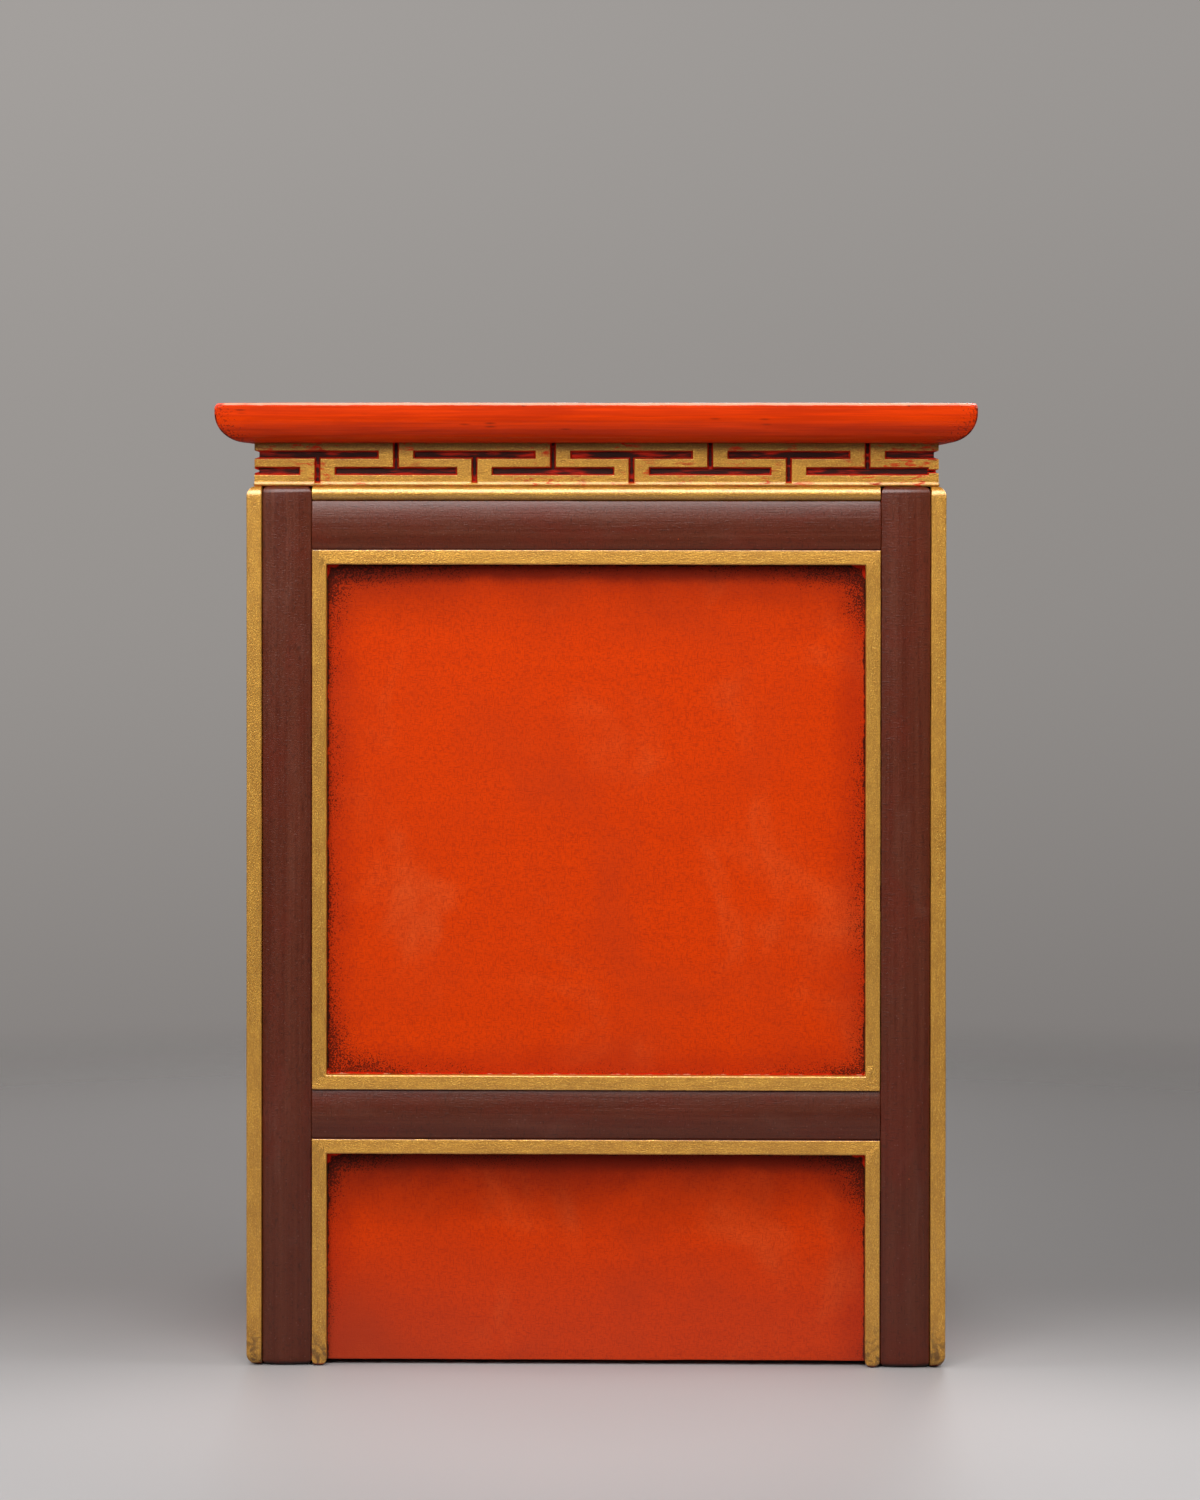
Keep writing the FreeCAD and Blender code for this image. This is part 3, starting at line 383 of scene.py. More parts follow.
def finish(
    bm, node, way, *finishes, body="case", place=None, strokes=LEVEL, lines=((), ()), corners=(),
    seed=0, front=0.0, even=True,
):
    """Turns a worked piece into an object in its place, which stands for a node of the frame.

    It is named for the node and for the way in which it is finished.
    strokes is one of the turns above, or a rule that gives the brush's way point by point.
    front is the depth of the piece's front surface, from which hollows are measured.
    """
    points = np.array([vert.co for vert in bm.verts], float)
    if place is not None:
        bmesh.ops.transform(bm, matrix=place, verts=bm.verts[:])
    mesh = as_mesh(bm, node + "_" + way)
    along = strokes(points) if callable(strokes) else points @ np.array(strokes).T
    keep_value(mesh, "stroke", along + seed * np.array([0.311, 0.173, 0.237]))
    keep_value(mesh, "ridge", nearest(points, lines[0]))
    keep_value(mesh, "valley", nearest(points, lines[1]))
    keep_value(mesh, "corner", nearest(points, corners))
    keep_value(mesh, "depth", points[:, 1] - front)
    mesh.shade_smooth()
    mesh.set_sharp_from_angle(angle=math.radians(42))
    for material in finishes:
        mesh.materials.append(bpy.data.materials["finish_" + material])
    piece = in_scene(mesh.name, mesh)
    if even:
        piece.modifiers.new("even_shading", "WEIGHTED_NORMAL").keep_sharp = True
    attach(piece, body)
    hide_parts(node)


# The side and the turn of each face and corner.
FACES = {"front": (0, -1, 0), "right": (1, 0, 90), "back": (0, 1, 180), "left": (-1, 0, 270)}
CORNERS = {
    "front_left": (-1, -1, 0), "front_right": (1, -1, 90), "back_right": (1, 1, 180),
    "back_left": (-1, 1, 270),
}


def put(side):
    """From the directions of a face or corner, along it, inwards and up, to the cabinet's."""
    x, y, degrees = (FACES | CORNERS)[side]
    reach = sizes().reach
    turn = Matrix.Rotation(math.radians(degrees), 4, "Z")
    return Matrix.Translation((x * reach, y * reach, 0)) @ turn


def own_box(node, place):
    """A node's lowest and highest corners in the directions of its face."""
    back = place.inverted()
    ends = [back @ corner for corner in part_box(node)]
    return Vector(map(min, *ends)), Vector(map(max, *ends))


# Finishes

class Nodes:
    """A node tree, and short ways to add to it."""

    def __init__(self, tree):
        self.tree = tree

    def join(self, socket, value):
        if isinstance(value, bpy.types.NodeSocket):
            self.tree.links.new(value, socket)
        else:
            socket.default_value = value

    def add(self, kind, inputs=None, **settings):
        node = self.tree.nodes.new("ShaderNode" + kind)
        for name, value in settings.items():
            setattr(node, name, value)
        for key, value in (inputs or {}).items():
            self.join(node.inputs[key], value)
        return node

    def give(self, **values):
        """Sets or feeds the shader's own sockets."""
        for label, value in values.items():
            self.join(self.tree.nodes["Principled BSDF"].inputs[label.replace("_", " ")], value)

    def maths(self, kind, *values):
        return self.add("Math", dict(enumerate(values)), operation=kind).outputs[0]

    def times(self, first, second):
        return self.maths("MULTIPLY", first, second)

    def plus(self, first, second):
        return self.maths("ADD", first, second)

    def less(self, first, second):
        return self.maths("SUBTRACT", first, second)

    def most(self, first, second):
        return self.maths("MAXIMUM", first, second)

    def fade(self, value, start, end, first=0.0, last=1.0):
        """A smooth change from first to last as a value goes from start to end."""
        inputs = {0: value, 1: start, 2: end, 3: first, 4: last}
        return self.add("MapRange", inputs, interpolation_type="SMOOTHSTEP").outputs[0]

    def mixed(self, share, first, second):
        inputs = {0: share, 6: first, 7: second}
        return self.add("Mix", inputs, data_type="RGBA").outputs[2]

    def split(self, place):
        return self.add("SeparateXYZ", {0: place}).outputs

    def grown(self, place, x, y, z):
        """A place with each of its directions drawn out by its own scale."""
        inputs = {0: place, 1: (x, y, z)}
        return self.add("VectorMath", inputs, operation="MULTIPLY").outputs[0]

    def cloud(self, place, scale, detail=3.0, rough=0.55, warp=0.0):
        inputs = {
            "Vector": place, "Scale": scale, "Detail": detail, "Roughness": rough,
            "Distortion": warp,
        }
        return self.add("TexNoise", inputs).outputs[0]


def effect(name, inputs, outputs):
    """An empty node group, what goes into it, and what it puts out.

    An input without a value is a place. The other inputs and all outputs are numbers.
    """
    group = bpy.data.node_groups.new(name, "ShaderNodeTree")
    for label, value in inputs.items():
        kind = "NodeSocketVector" if value is None else "NodeSocketFloat"
        socket = group.interface.new_socket(name=label, in_out="INPUT", socket_type=kind)
        if value is not None:
            socket.default_value = value
    for label in outputs:
        group.interface.new_socket(name=label, in_out="OUTPUT", socket_type="NodeSocketFloat")
    given = group.nodes.new("NodeGroupInput").outputs
    asked = group.nodes.new("NodeGroupOutput").inputs
    return Nodes(group), given, asked


def make_effects():
    # Brush strokes: long marks along the stroke, narrow across it.
    tree, given, asked = effect(
        "brush_strokes", {"Stroke": None, "Length": 12.0, "Fineness": 500.0, "Fade": 0.25},
        ["Marks", "Relief"],
    )
    split = tree.split(given["Stroke"])
    along = tree.times(split[0], given["Length"])
    inwards, across = (tree.times(split[number], given["Fineness"]) for number in (1, 2))
    place = tree.add("CombineXYZ", {0: along, 1: inwards, 2: across}).outputs[0]
    broad = tree.cloud(tree.grown(place, 0.6, 0.22, 0.22), 1.0, 4.0, 0.6, 0.4)
    fine = tree.cloud(place, 1.0, 3.0, 0.6, 0.2)
    both = tree.plus(tree.times(broad, 0.6), tree.times(fine, 0.4))
    lowest, highest = tree.less(0.5, given["Fade"]), tree.plus(0.5, given["Fade"])
    tree.join(asked["Marks"], tree.fade(both, lowest, highest))
    tree.join(asked["Relief"], both)

    # A broken line: where a distance is small, torn by a grain.
    tree, given, asked = effect(
        "broken_line",
        {"Distance": 1.0, "Width": 0.001, "Stroke": None, "Grain": 300.0, "Tear": 1.0, "Amount": 0.5},
        ["Mask"],
    )
    nearness = tree.less(1.0, tree.maths("DIVIDE", given["Distance"], given["Width"]))
    grain = tree.cloud(given["Stroke"], given["Grain"], 4.0, 0.65)
    torn = tree.times(tree.less(grain, 0.5), given["Tear"])
    total = tree.plus(tree.plus(nearness, torn), given["Amount"])
    tree.join(asked["Mask"], tree.fade(total, 0.85, 1.15))

    # Patches: clouds with a threshold.
    tree, given, asked = effect(
        "patches", {"Stroke": None, "Scale": 20.0, "From": 0.5, "To": 0.65}, ["Mask"]
    )
    value = tree.cloud(given["Stroke"], given["Scale"], 4.0, 0.6, 0.6)
    tree.join(asked["Mask"], tree.fade(value, given["From"], given["To"]))

    # Flecks: small sparse chips and specks.
    tree, given, asked = effect(
        "flecks", {"Stroke": None, "Scale": 120.0, "Size": 0.1, "Rarity": 0.6}, ["Mask"]
    )
    spots = tree.add("TexVoronoi", {"Vector": given["Stroke"], "Scale": given["Scale"]}).outputs
    dots = tree.fade(spots["Distance"], given["Size"], 0.0)
    chosen = tree.add("SeparateColor", {0: spots["Color"]}).outputs[0]
    kept = tree.maths("GREATER_THAN", chosen, given["Rarity"])
    tree.join(asked["Mask"], tree.times(dots, kept))

    # Cloth: a fine crossed texture, as of primed cloth under paint.
    tree, given, asked = effect("primed_cloth", {"Stroke": None, "Fineness": 700.0}, ["Relief"])
    inputs = {0: given["Stroke"], 3: given["Fineness"]}
    place = tree.add("VectorMath", inputs, operation="SCALE").outputs[0]
    level = tree.cloud(tree.grown(place, 0.25, 0.5, 1.0), 1.0, 2.0, 0.5, 0.3)
    upright = tree.cloud(tree.grown(place, 1.0, 0.5, 0.25), 1.0, 2.0, 0.5, 0.3)
    tree.join(asked["Relief"], tree.most(level, upright))


class Coats(Nodes):
    """A material whose colour is laid on coat by coat.

    Each piece carries, for its materials, the way of its strokes and how far each point is from
    its ridges, its valleys, its corners and its front. height is the height over the floor.
    """

    def __init__(self, name, base, **shine):
        material = bpy.data.materials.new("finish_" + name)
        material.use_nodes = True
        super().__init__(material.node_tree)
        self.base = base
        self.give(**shine)
        for label in ("stroke", "ridge", "valley", "corner", "depth"):
            carried = self.add("Attribute", attribute_name=label).outputs
            setattr(self, label, carried["Vector" if label == "stroke" else "Fac"])
        self.height = self.split(self.add("TexCoord").outputs["Object"])[2]

    def lay(self, mask, colour, share=None):
        """Lays a share of a colour over what is there, where a mask is."""
        if share is not None:
            mask = self.times(mask, share)
        self.base = self.mixed(mask, self.base, colour)

    def use(self, name, drawn=1.0, **inputs):
        """One of the shared effects, with its own values, drawn out along the strokes."""
        node = self.add("Group", node_tree=bpy.data.node_groups[name])
        stroke = self.stroke if drawn == 1.0 else self.grown(self.stroke, drawn, 1.0, 1.0)
        for key, value in {"Stroke": stroke, **inputs}.items():
            self.join(node.inputs[key], value)
        return node.outputs

    def line(self, distance, width, grain, tear, amount, drawn=1.0):
        """Where a distance is small, torn by a grain."""
        return self.use(
            "broken_line", drawn, Distance=distance, Width=width, Grain=grain, Tear=tear,
            Amount=amount,
        )[0]

    def patches(self, scale, start, end, drawn=1.0):
        return self.use("patches", drawn, Scale=scale, From=start, To=end)[0]

    def flecks(self, scale, size, rarity, drawn=1.0):
        return self.use("flecks", drawn, Scale=scale, Size=size, Rarity=rarity)[0]

    def brush(self, length, fineness, fade):
        """The marks of a brush, and their height."""
        return self.use("brush_strokes", Length=length, Fineness=fineness, Fade=fade)

    def relief(self, *heights):
        """Bumps the surface by several heights, each with its own depth in metres."""
        last = {}
        for height, deep in heights:
            inputs = {"Height": height, "Distance": deep, "Strength": 1.0, **last}
            last = {"Normal": self.add("Bump", inputs).outputs[0]}
        self.give(**last)


def make_red_top():
    hue = paints()
    coats = Coats(
        "red_top", hue.top_red, Specular_IOR_Level=0.05, Coat_Weight=0.17, Coat_Roughness=0.08
    )
    marks, hairs = coats.brush(length=14.0, fineness=820.0, fade=0.13)
    coats.lay(marks, hue.top_deep, 0.6)
    coats.lay(coats.patches(scale=60.0, start=0.5, end=0.75, drawn=0.25), hue.top_deep, 0.35)
    # Painted shade under the board: its underside and lower rounding darker towards where they meet
    # the frieze.
    coats.lay(coats.fade(coats.valley, 0.026, 0.006), hue.panel_edge, 0.4)
    scuffs = coats.line(
        coats.ridge, width=0.006, grain=420.0, tear=3.2, amount=-0.25, drawn=0.4
    )
    coats.lay(scuffs, hue.grime_and_shade, 0.7)
    ends = coats.line(coats.corner, width=0.02, grain=700.0, tear=4.6, amount=-0.05)
    coats.lay(ends, hue.grime_and_shade, 0.55)
    rim = coats.line(coats.corner, width=0.0016, grain=160.0, tear=1.6, amount=0.5)
    coats.lay(rim, hue.grime_and_shade, 0.8)
    coats.lay(coats.flecks(scale=360.0, size=0.34, rarity=0.9, drawn=0.18), hue.grime_and_shade, 0.6)
    # A painted highlight along the top's edges, laid as paint worn pale.
    rubbed_highlight = coats.line(coats.ridge, width=0.002, grain=70.0, tear=0.8, amount=0.72)
    coats.lay(rubbed_highlight, hue.painted_edge_highlight, 0.7)
    coats.give(Base_Color=coats.base, Roughness=coats.fade(hairs, 0.3, 0.7, 0.4, 0.52))
    coats.relief((hairs, 0.00035))


def make_red_panel():
    hue = paints()
    coats = Coats("red_panel", hue.panel_red, Specular_IOR_Level=0.05)
    cloth = coats.use("primed_cloth", Fineness=1400.0)[0]
    marks, hairs = coats.brush(length=16.0, fineness=240.0, fade=0.3)
    coats.lay(marks, hue.top_deep, 0.2)
    coats.lay(coats.patches(scale=11.0, start=0.5, end=0.8), hue.panel_rosy, 0.6)
    coats.lay(coats.fade(cloth, 0.46, 0.74, 0.0, 0.52), hue.panel_edge)
    drift = coats.less(coats.cloud(coats.stroke, 26.0, 4.0, 0.6, 0.4), 0.5)
    loose = coats.times(drift, 0.03)
    reach = coats.plus(coats.valley, loose)
    coats.lay(coats.fade(reach, 0.026, 0.0, 0.0, 0.4), hue.panel_edge)
    # Duller clouds, heavier towards the floor, and a deeper red low down; the heavier part low down
    # is painted shade, the panels darker where less light reaches.
    smoky = coats.fade(coats.cloud(coats.stroke, 8.0, 3.0, 0.6, 0.5), 0.4, 0.75)
    low_shade = coats.fade(coats.height, 0.14, 0.0, 0.4, 1.0)
    coats.lay(coats.times(smoky, low_shade), hue.panel_smoke_and_shade)
    coats.lay(coats.fade(coats.height, 0.15, 0.02, 0.0, 0.22), hue.panel_edge)

    # Painted shadow under a top member, laid as a dark glaze: an even dark band, and a softer, deeper
    # one on the aprons.
    ragged = coats.plus(coats.ridge, coats.times(drift, 0.008))
    coats.lay(coats.fade(ragged, 0.0135, 0.006, 0.0, 0.7), hue.panel_painted_shadow)
    deep = coats.fade(coats.plus(coats.ridge, loose), 0.056, 0.002)
    apron = coats.fade(coats.height, 0.15, 0.135, 0.3, 0.7)
    coats.lay(coats.times(deep, apron), hue.panel_painted_shadow)

    # Dirt along the mouldings, thickest in the corners.
    dirty = coats.fade(coats.cloud(coats.stroke, 17.0, 2.0, 0.5), 0.36, 0.62, -0.7, 0.0)
    dirty = coats.plus(dirty, coats.fade(coats.corner, 0.07, 0.0, -0.06, 0.8))
    dirt = coats.line(coats.valley, width=0.012, grain=1150.0, tear=8.0, amount=dirty)
    coats.lay(dirt, hue.grime_and_shade, 0.78)

    # A dark seam along the sides and the head, a fresh red line along the foot, and a pale line of
    # painted highlight along the foot.
    foot = coats.less(coats.height, low("frame_moulding_right").z + sizes().moulding)
    foot = coats.fade(coats.maths("ABSOLUTE", foot), 0.004, 0.001)
    for width, grain, tear, elsewhere, there, colour, share in (
        (0.0026, 160.0, 1.8, 0.35, -0.5, hue.grime_and_shade, 0.85),
        (0.0016, 70.0, 3.0, -0.45, 0.4, hue.fresh_red, None),
        (0.0011, 240.0, 3.4, -2.0, -0.05, hue.painted_edge_highlight, 0.6),
    ):
        amount = coats.fade(foot, 0.0, 1.0, elsewhere, there)
        coats.lay(coats.line(coats.valley, width, grain, tear, amount), colour, share)
    coats.lay(coats.fade(coats.height, 0.1, 0.0, 0.0, 0.08), hue.brown_dust)

    # Dabs of fresh red in the upper corners.
    close = coats.fade(coats.corner, 0.014, 0.005, -0.9, 0.6)
    dab = coats.line(coats.valley, width=0.003, grain=120.0, tear=2.0, amount=close)
    dab = coats.times(dab, coats.fade(coats.ridge, 0.02, 0.01))
    coats.lay(dab, hue.fresh_red, 0.9)
    coats.lay(coats.flecks(scale=45.0, size=0.035, rarity=0.93), hue.brown_grey, 0.8)
    coats.give(Base_Color=coats.base, Roughness=coats.fade(cloth, 0.4, 0.8, 0.42, 0.6))
    coats.relief((cloth, 0.0002), (hairs, 0.0003))


class GoldCoats(Coats):
    """Gold paint over a red ground, which shows where the gold is worn off."""

    def __init__(self, name, **shine):
        hue = paints()
        super().__init__(name, hue.gold, Coat_Roughness=0.28, **shine)
        marks, self.hairs = self.brush(length=90.0, fineness=800.0, fade=0.14)
        self.speckle = self.cloud(self.grown(self.stroke, 0.5, 1.0, 1.0), 1700.0, 2.0, 0.7)
        self.lay(marks, hue.gold_deep, 0.5)
        self.lay(self.fade(self.speckle, 0.44, 0.6), hue.gold_deep, 0.5)
        self.lay(self.fade(self.speckle, 0.44, 0.32), hue.gold_bright, 0.5)
        patch = self.cloud(self.stroke, 60.0, 4.0, 0.65, 0.5)
        self.lay(self.fade(patch, 0.5, 0.85, 0.0, 0.3), hue.gold_deep)

    def burnish(self, bare, coat):
        """Gives the shader its metal and its gloss where the gold isn't bare."""
        rough = self.fade(self.speckle, 0.3, 0.7, 0.3, 0.5)
        rough = self.add("Mix", {0: bare, 2: rough, 3: 0.6}).outputs[0]
        metal = self.fade(bare, 0.0, 1.0, 0.55, 0.0)
        self.give(Base_Color=self.base, Roughness=rough, Metallic=metal, Coat_Weight=coat)
        self.relief((self.speckle, 0.0003), (self.hairs, 0.0002))


def make_gold_paint():
    hue = paints()
    gold = GoldCoats("gold_paint", Specular_IOR_Level=0.3, Coat_IOR=1.7)
    often = gold.fade(gold.cloud(gold.stroke, 24.0, 2.0, 0.5), 0.45, 0.68, -0.75, -0.15)
    worn = gold.line(gold.ridge, width=0.0013, grain=230.0, tear=3.2, amount=often)
    foot = gold.line(gold.height, width=0.0032, grain=300.0, tear=1.4, amount=0.45)
    bare = gold.most(worn, foot)
    stained = gold.patches(scale=190.0, start=0.42, end=0.6)
    stained = gold.times(stained, gold.fade(gold.height, 0.035, 0.003, 0.0, 0.8))
    gold.lay(stained, hue.gold_stain_and_shadow)
    gold.lay(bare, hue.bole, 0.9)
    # Near black within 2 mm of the floor: painted shade where the foot meets the floor, with dirt.
    gold.lay(gold.fade(gold.height, 0.0022, 0.0006, 0.0, 0.95), hue.grime_and_shade)
    coat = gold.fade(bare, 0.0, 1.0, 0.85, 0.0)
    gold.burnish(bare, gold.times(coat, gold.fade(gold.height, 0.3, 0.02, 1.0, 0.6)))


def make_gold_fret():
    hue, seat = paints(), sizes().case_height
    gold = GoldCoats("gold_fret", Specular_IOR_Level=0.15, Coat_IOR=1.8)
    thin = gold.patches(scale=420.0, start=0.5, end=0.62, drawn=0.3)
    thin = gold.times(gold.times(thin, gold.patches(scale=26.0, start=0.46, end=0.6)), 0.9)
    worn = gold.line(gold.ridge, width=0.0009, grain=260.0, tear=3.0, amount=-0.45)
    rise = gold.less(gold.height, seat)
    foot = gold.line(rise, width=0.0008, grain=200.0, tear=2.6, amount=0.1)

    # The carved slots: red at their edges and down their sides, dark on their floors.
    edge = gold.cloud(gold.grown(gold.stroke, 0.16, 1.0, 1.0), 300.0, 2.0, 0.5)
    drift = gold.less(edge, 0.5)
    line = gold.plus(gold.depth, gold.times(drift, 0.0005))
    bare = gold.most(gold.most(thin, worn), gold.fade(line, 0.00012, 0.00036))
    bare = gold.most(bare, foot)
    red = gold.mixed(gold.fade(edge, 0.48, 0.66, 0.0, 0.7), hue.fresh_red, hue.panel_edge)
    # Painted shadow of the top board on the frieze: the gold dimmer towards the frieze's head.
    gold.lay(gold.fade(gold.height, seat + 0.019, seat + 0.026, 0.17, 0.5), hue.gold_stain_and_shadow)
    gold.lay(bare, red)
    deep = gold.plus(gold.depth, gold.times(drift, 0.0022))
    gold.lay(gold.fade(deep, 0.0022, 0.0028), hue.grime_and_shade, 0.95)
    gold.burnish(bare, gold.fade(bare, 0.0, 1.0, 0.5, 0.0))


def make_brown_paint():
    hue = paints()
    coats = Coats("brown_paint", hue.brown, Specular_IOR_Level=0.2, Coat_Roughness=0.24)
    marks, hairs = coats.brush(length=8.0, fineness=700.0, fade=0.22)
    coats.lay(marks, hue.brown_grey, 0.72)
    coats.lay(coats.patches(scale=30.0, start=0.45, end=0.75, drawn=0.5), hue.brown_red, 0.6)
    coats.lay(coats.patches(scale=52.0, start=0.52, end=0.78, drawn=0.35), hue.brown_dust, 0.1)
    worn = coats.line(coats.ridge, width=0.0022, grain=300.0, tear=2.4, amount=-0.2)
    coats.lay(worn, hue.fresh_red, 0.7)
    # A dark line along the joints beside the mouldings and where the rails meet: painted shade, with
    # dirt.
    dirt = coats.line(coats.valley, width=0.0018, grain=300.0, tear=1.4, amount=0.2)
    coats.lay(dirt, hue.grime_and_shade, 0.7)
    coats.lay(coats.flecks(scale=70.0, size=0.05, rarity=0.9), hue.panel_rosy, 0.35)
    coats.lay(coats.flecks(scale=610.0, size=0.4, rarity=0.93), hue.brown_dust, 0.3)
    foot = coats.line(coats.height, width=0.005, grain=160.0, tear=3.0, amount=0.1)
    coats.lay(foot, hue.bole, 0.7)
    # Near black within 3 mm of the floor: painted shade where the foot meets the floor, with dirt.
    coats.lay(coats.fade(coats.height, 0.003, 0.0006, 0.0, 0.95), hue.grime_and_shade)
    # Painted shade: the brown darker towards the floor, where less light reaches.
    coats.lay(coats.fade(coats.height, 0.35, 0.03, 0.0, 0.2), hue.grime_and_shade)
    cloth = coats.use("primed_cloth", Fineness=1000.0)[0]
    coats.lay(coats.fade(cloth, 0.55, 0.75, 0.0, 0.35), hue.grime_and_shade)
    coats.give(
        Base_Color=coats.base,
        Roughness=coats.fade(hairs, 0.3, 0.7, 0.3, 0.42),
        Coat_Weight=coats.fade(coats.height, 0.3, 0.02, 0.42, 0.18),
    )
    coats.relief((hairs, 0.0003), (cloth, 0.00028))


def make_inner_wood():
    hue = paints()
    wood = Coats("inner_wood", hue.wood)

    # Long rings that bend as the grain drifts, and fine pores.
    drift = wood.cloud(wood.grown(wood.stroke, 3.0, 14.0, 14.0), 1.0, 3.0, 0.5, 0.2)
    split = wood.split(wood.stroke)
    across = wood.plus(split[2], wood.times(split[1], 0.6))
    turns = wood.plus(wood.times(across, 130.0), wood.times(drift, 9.0))
    rings = wood.fade(wood.maths("FRACT", turns), 0.0, 1.0)
    pores = wood.cloud(wood.grown(wood.stroke, 40.0, 1800.0, 1800.0), 1.0, 2.0, 0.6)
    wood.lay(rings, hue.wood_dark, 0.6)
    wood.lay(wood.fade(pores, 0.55, 0.75), hue.wood_dark, 0.5)
    wood.lay(wood.patches(scale=12.0, start=0.4, end=0.75), hue.wood_dark, 0.3)
    dirt = wood.line(wood.ridge, width=0.002, grain=200.0, tear=2.0, amount=-0.2)
    wood.lay(dirt, hue.grime_and_shade, 0.35)
    wood.give(Base_Color=wood.base, Roughness=wood.fade(pores, 0.3, 0.7, 0.5, 0.68))
    wood.relief((pores, 0.0002), (rings, 0.00012))


def make_metal(name, bright, dark, polish, wear):
    metal = Coats(name, bright, Metallic=1.0)
    stain = metal.patches(scale=90.0, start=0.4, end=0.7)
    lines, hairs = metal.brush(length=120.0, fineness=2600.0, fade=0.3)
    metal.lay(stain, dark, wear)
    metal.lay(lines, dark, 0.25)
    metal.give(
        Base_Color=metal.base, Roughness=metal.fade(stain, 0.0, 1.0, polish, polish + 0.2)
    )
    metal.relief((hairs, 0.00003))


# Steps

class Step(Operator):
    """What all the steps share."""

    bl_options = {"REGISTER", "UNDO"}

    def execute(self, context):
        self.make(sizes())
        return {"FINISHED"}


class CABINET_OT_finishes(Step):
    """Mix the paints, the gold, the wood and the metals"""

    bl_idname = "cabinet.finishes"
    bl_label = "Finishes"

    def make(self, s):
        hue = paints()
        make_effects()
        make_red_top()
        make_red_panel()
        make_gold_paint()
        make_gold_fret()
        make_brown_paint()
        make_inner_wood()
        make_metal("brass", hue.brass, hue.brass_dark, polish=0.28, wear=0.55)
        make_metal("steel", hue.steel, hue.steel_dark, polish=0.32, wear=0.5)


def round_the_edge(points, top):
    """Strokes that run along each edge of the top board, and one way over its top."""
    x, y, z = points.T
    side = (abs(y) > abs(x)) & (z < top)
    far = (z < top) & np.where(side, y < 0, x < 0)
    along, inwards = np.where(side, x, y), np.where(side, y, x)
    sign = np.where(far, -1.0, 1.0)
    return np.stack([along * sign, inwards * sign, z], axis=1)


def round_the_frame(points, start, end, closed):
    """Strokes that run along each length of a moulding."""
    x, y, z = points.T
    beside = np.minimum(x - start.x, end.x - x)
    above = np.minimum(end.z - z, z - start.z if closed else 1.0)
    upright = beside < above
    return np.stack([np.where(upright, z, x), y, np.where(upright, x, z)], axis=1)


def around(corners):
    """Each corner with the next one, and the last with the first."""
    return list(zip(corners, corners[1:] + corners[:1]))


def round_over(bm, way, radius, cuts):
    """Rounds the rim of a flat end that faces up or down, cut by cut."""
    cap = max(bm.faces, key=lambda face: face.calc_center_median().z * way)
    for number in range(cuts):
        before, after = (math.pi / 2 * turn / cuts for turn in (number, number + 1))
        drop = radius * (math.sin(after) - math.sin(before))
        inset = radius * (math.cos(before) - math.cos(after))
        made = bmesh.ops.extrude_face_region(bm, geom=[cap])["geom"]
        bmesh.ops.delete(bm, geom=[cap], context="FACES_ONLY")
        ring, cap = only(made, BMVert), only(made, BMFace)[0]
        reach = max(vert.co.x for vert in ring)
        share = (reach - inset) / reach
        bmesh.ops.scale(bm, vec=(share, share, 1), verts=ring)
        bmesh.ops.translate(bm, vec=(0, 0, way * drop), verts=ring)


class CABINET_OT_top_board(Step):
    """Build the top board with its rounded under edge"""

    bl_idname = "cabinet.top_board"
    bl_label = "Top board"

    def make(self, s):
        start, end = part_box("top_board")
        trim = Vector((s.top_trim, s.top_trim, 0))
        start, end = start + trim, end - trim - Z * s.top_skim
        bm = bmesh.new()
        blank(bm, start + Z * s.ovolo, end - Z * s.arris)
        ease(bm, radius=0.0016, wanted=lambda edge: not is_level(edge), clamp=False)
        round_over(bm, -1, s.ovolo, cuts=14)
        round_over(bm, 1, s.arris, cuts=4)
        point_out(bm)
        for axis in (0, 1):
            first, last, gaps = start[axis], end[axis], (0.003, 0.007)
            close = [first + gap for gap in gaps] + [last - gap for gap in gaps]
            score(bm, axis, steps(first, last, pitch=0.012) + close)
        reach = end.x
        for vert in bm.verts:
            away = math.hypot(reach - abs(vert.co.x), reach - abs(vert.co.y))
            if away < s.corner_wear and vert.co.z > end.z - 1.5 * s.arris:
                vert.co.z -= s.corner_drop * (1 - away / s.corner_wear) ** 2
        stray(bm, s.waver * 1.3, s.stray, 1)
        rim = [(x * reach, y * reach, end.z) for x, y, degrees in CORNERS.values()]
        inwards = 0.9
        seam = [(x * inwards, y * inwards, start.z) for x, y, z in rim]
        worn = []
        for x, y, z in rim:
            worn.append([(x, y, start.z + s.ovolo / 2), (x, y, z)])
            arc = []
            for turn in map(math.radians, range(0, 91, 15)):
                share = 1 - s.ovolo * (1 - math.cos(turn)) / reach
                arc.append((x * share, y * share, start.z + s.ovolo * (1 - math.sin(turn))))
            worn += zip(arc, arc[1:])
        finish(
            bm, "top_board", "painted", "red_top",
            strokes=lambda points: round_the_edge(points, end.z - 0.0002),
            lines=(around(rim), around(seam)), corners=worn, seed=1,
        )


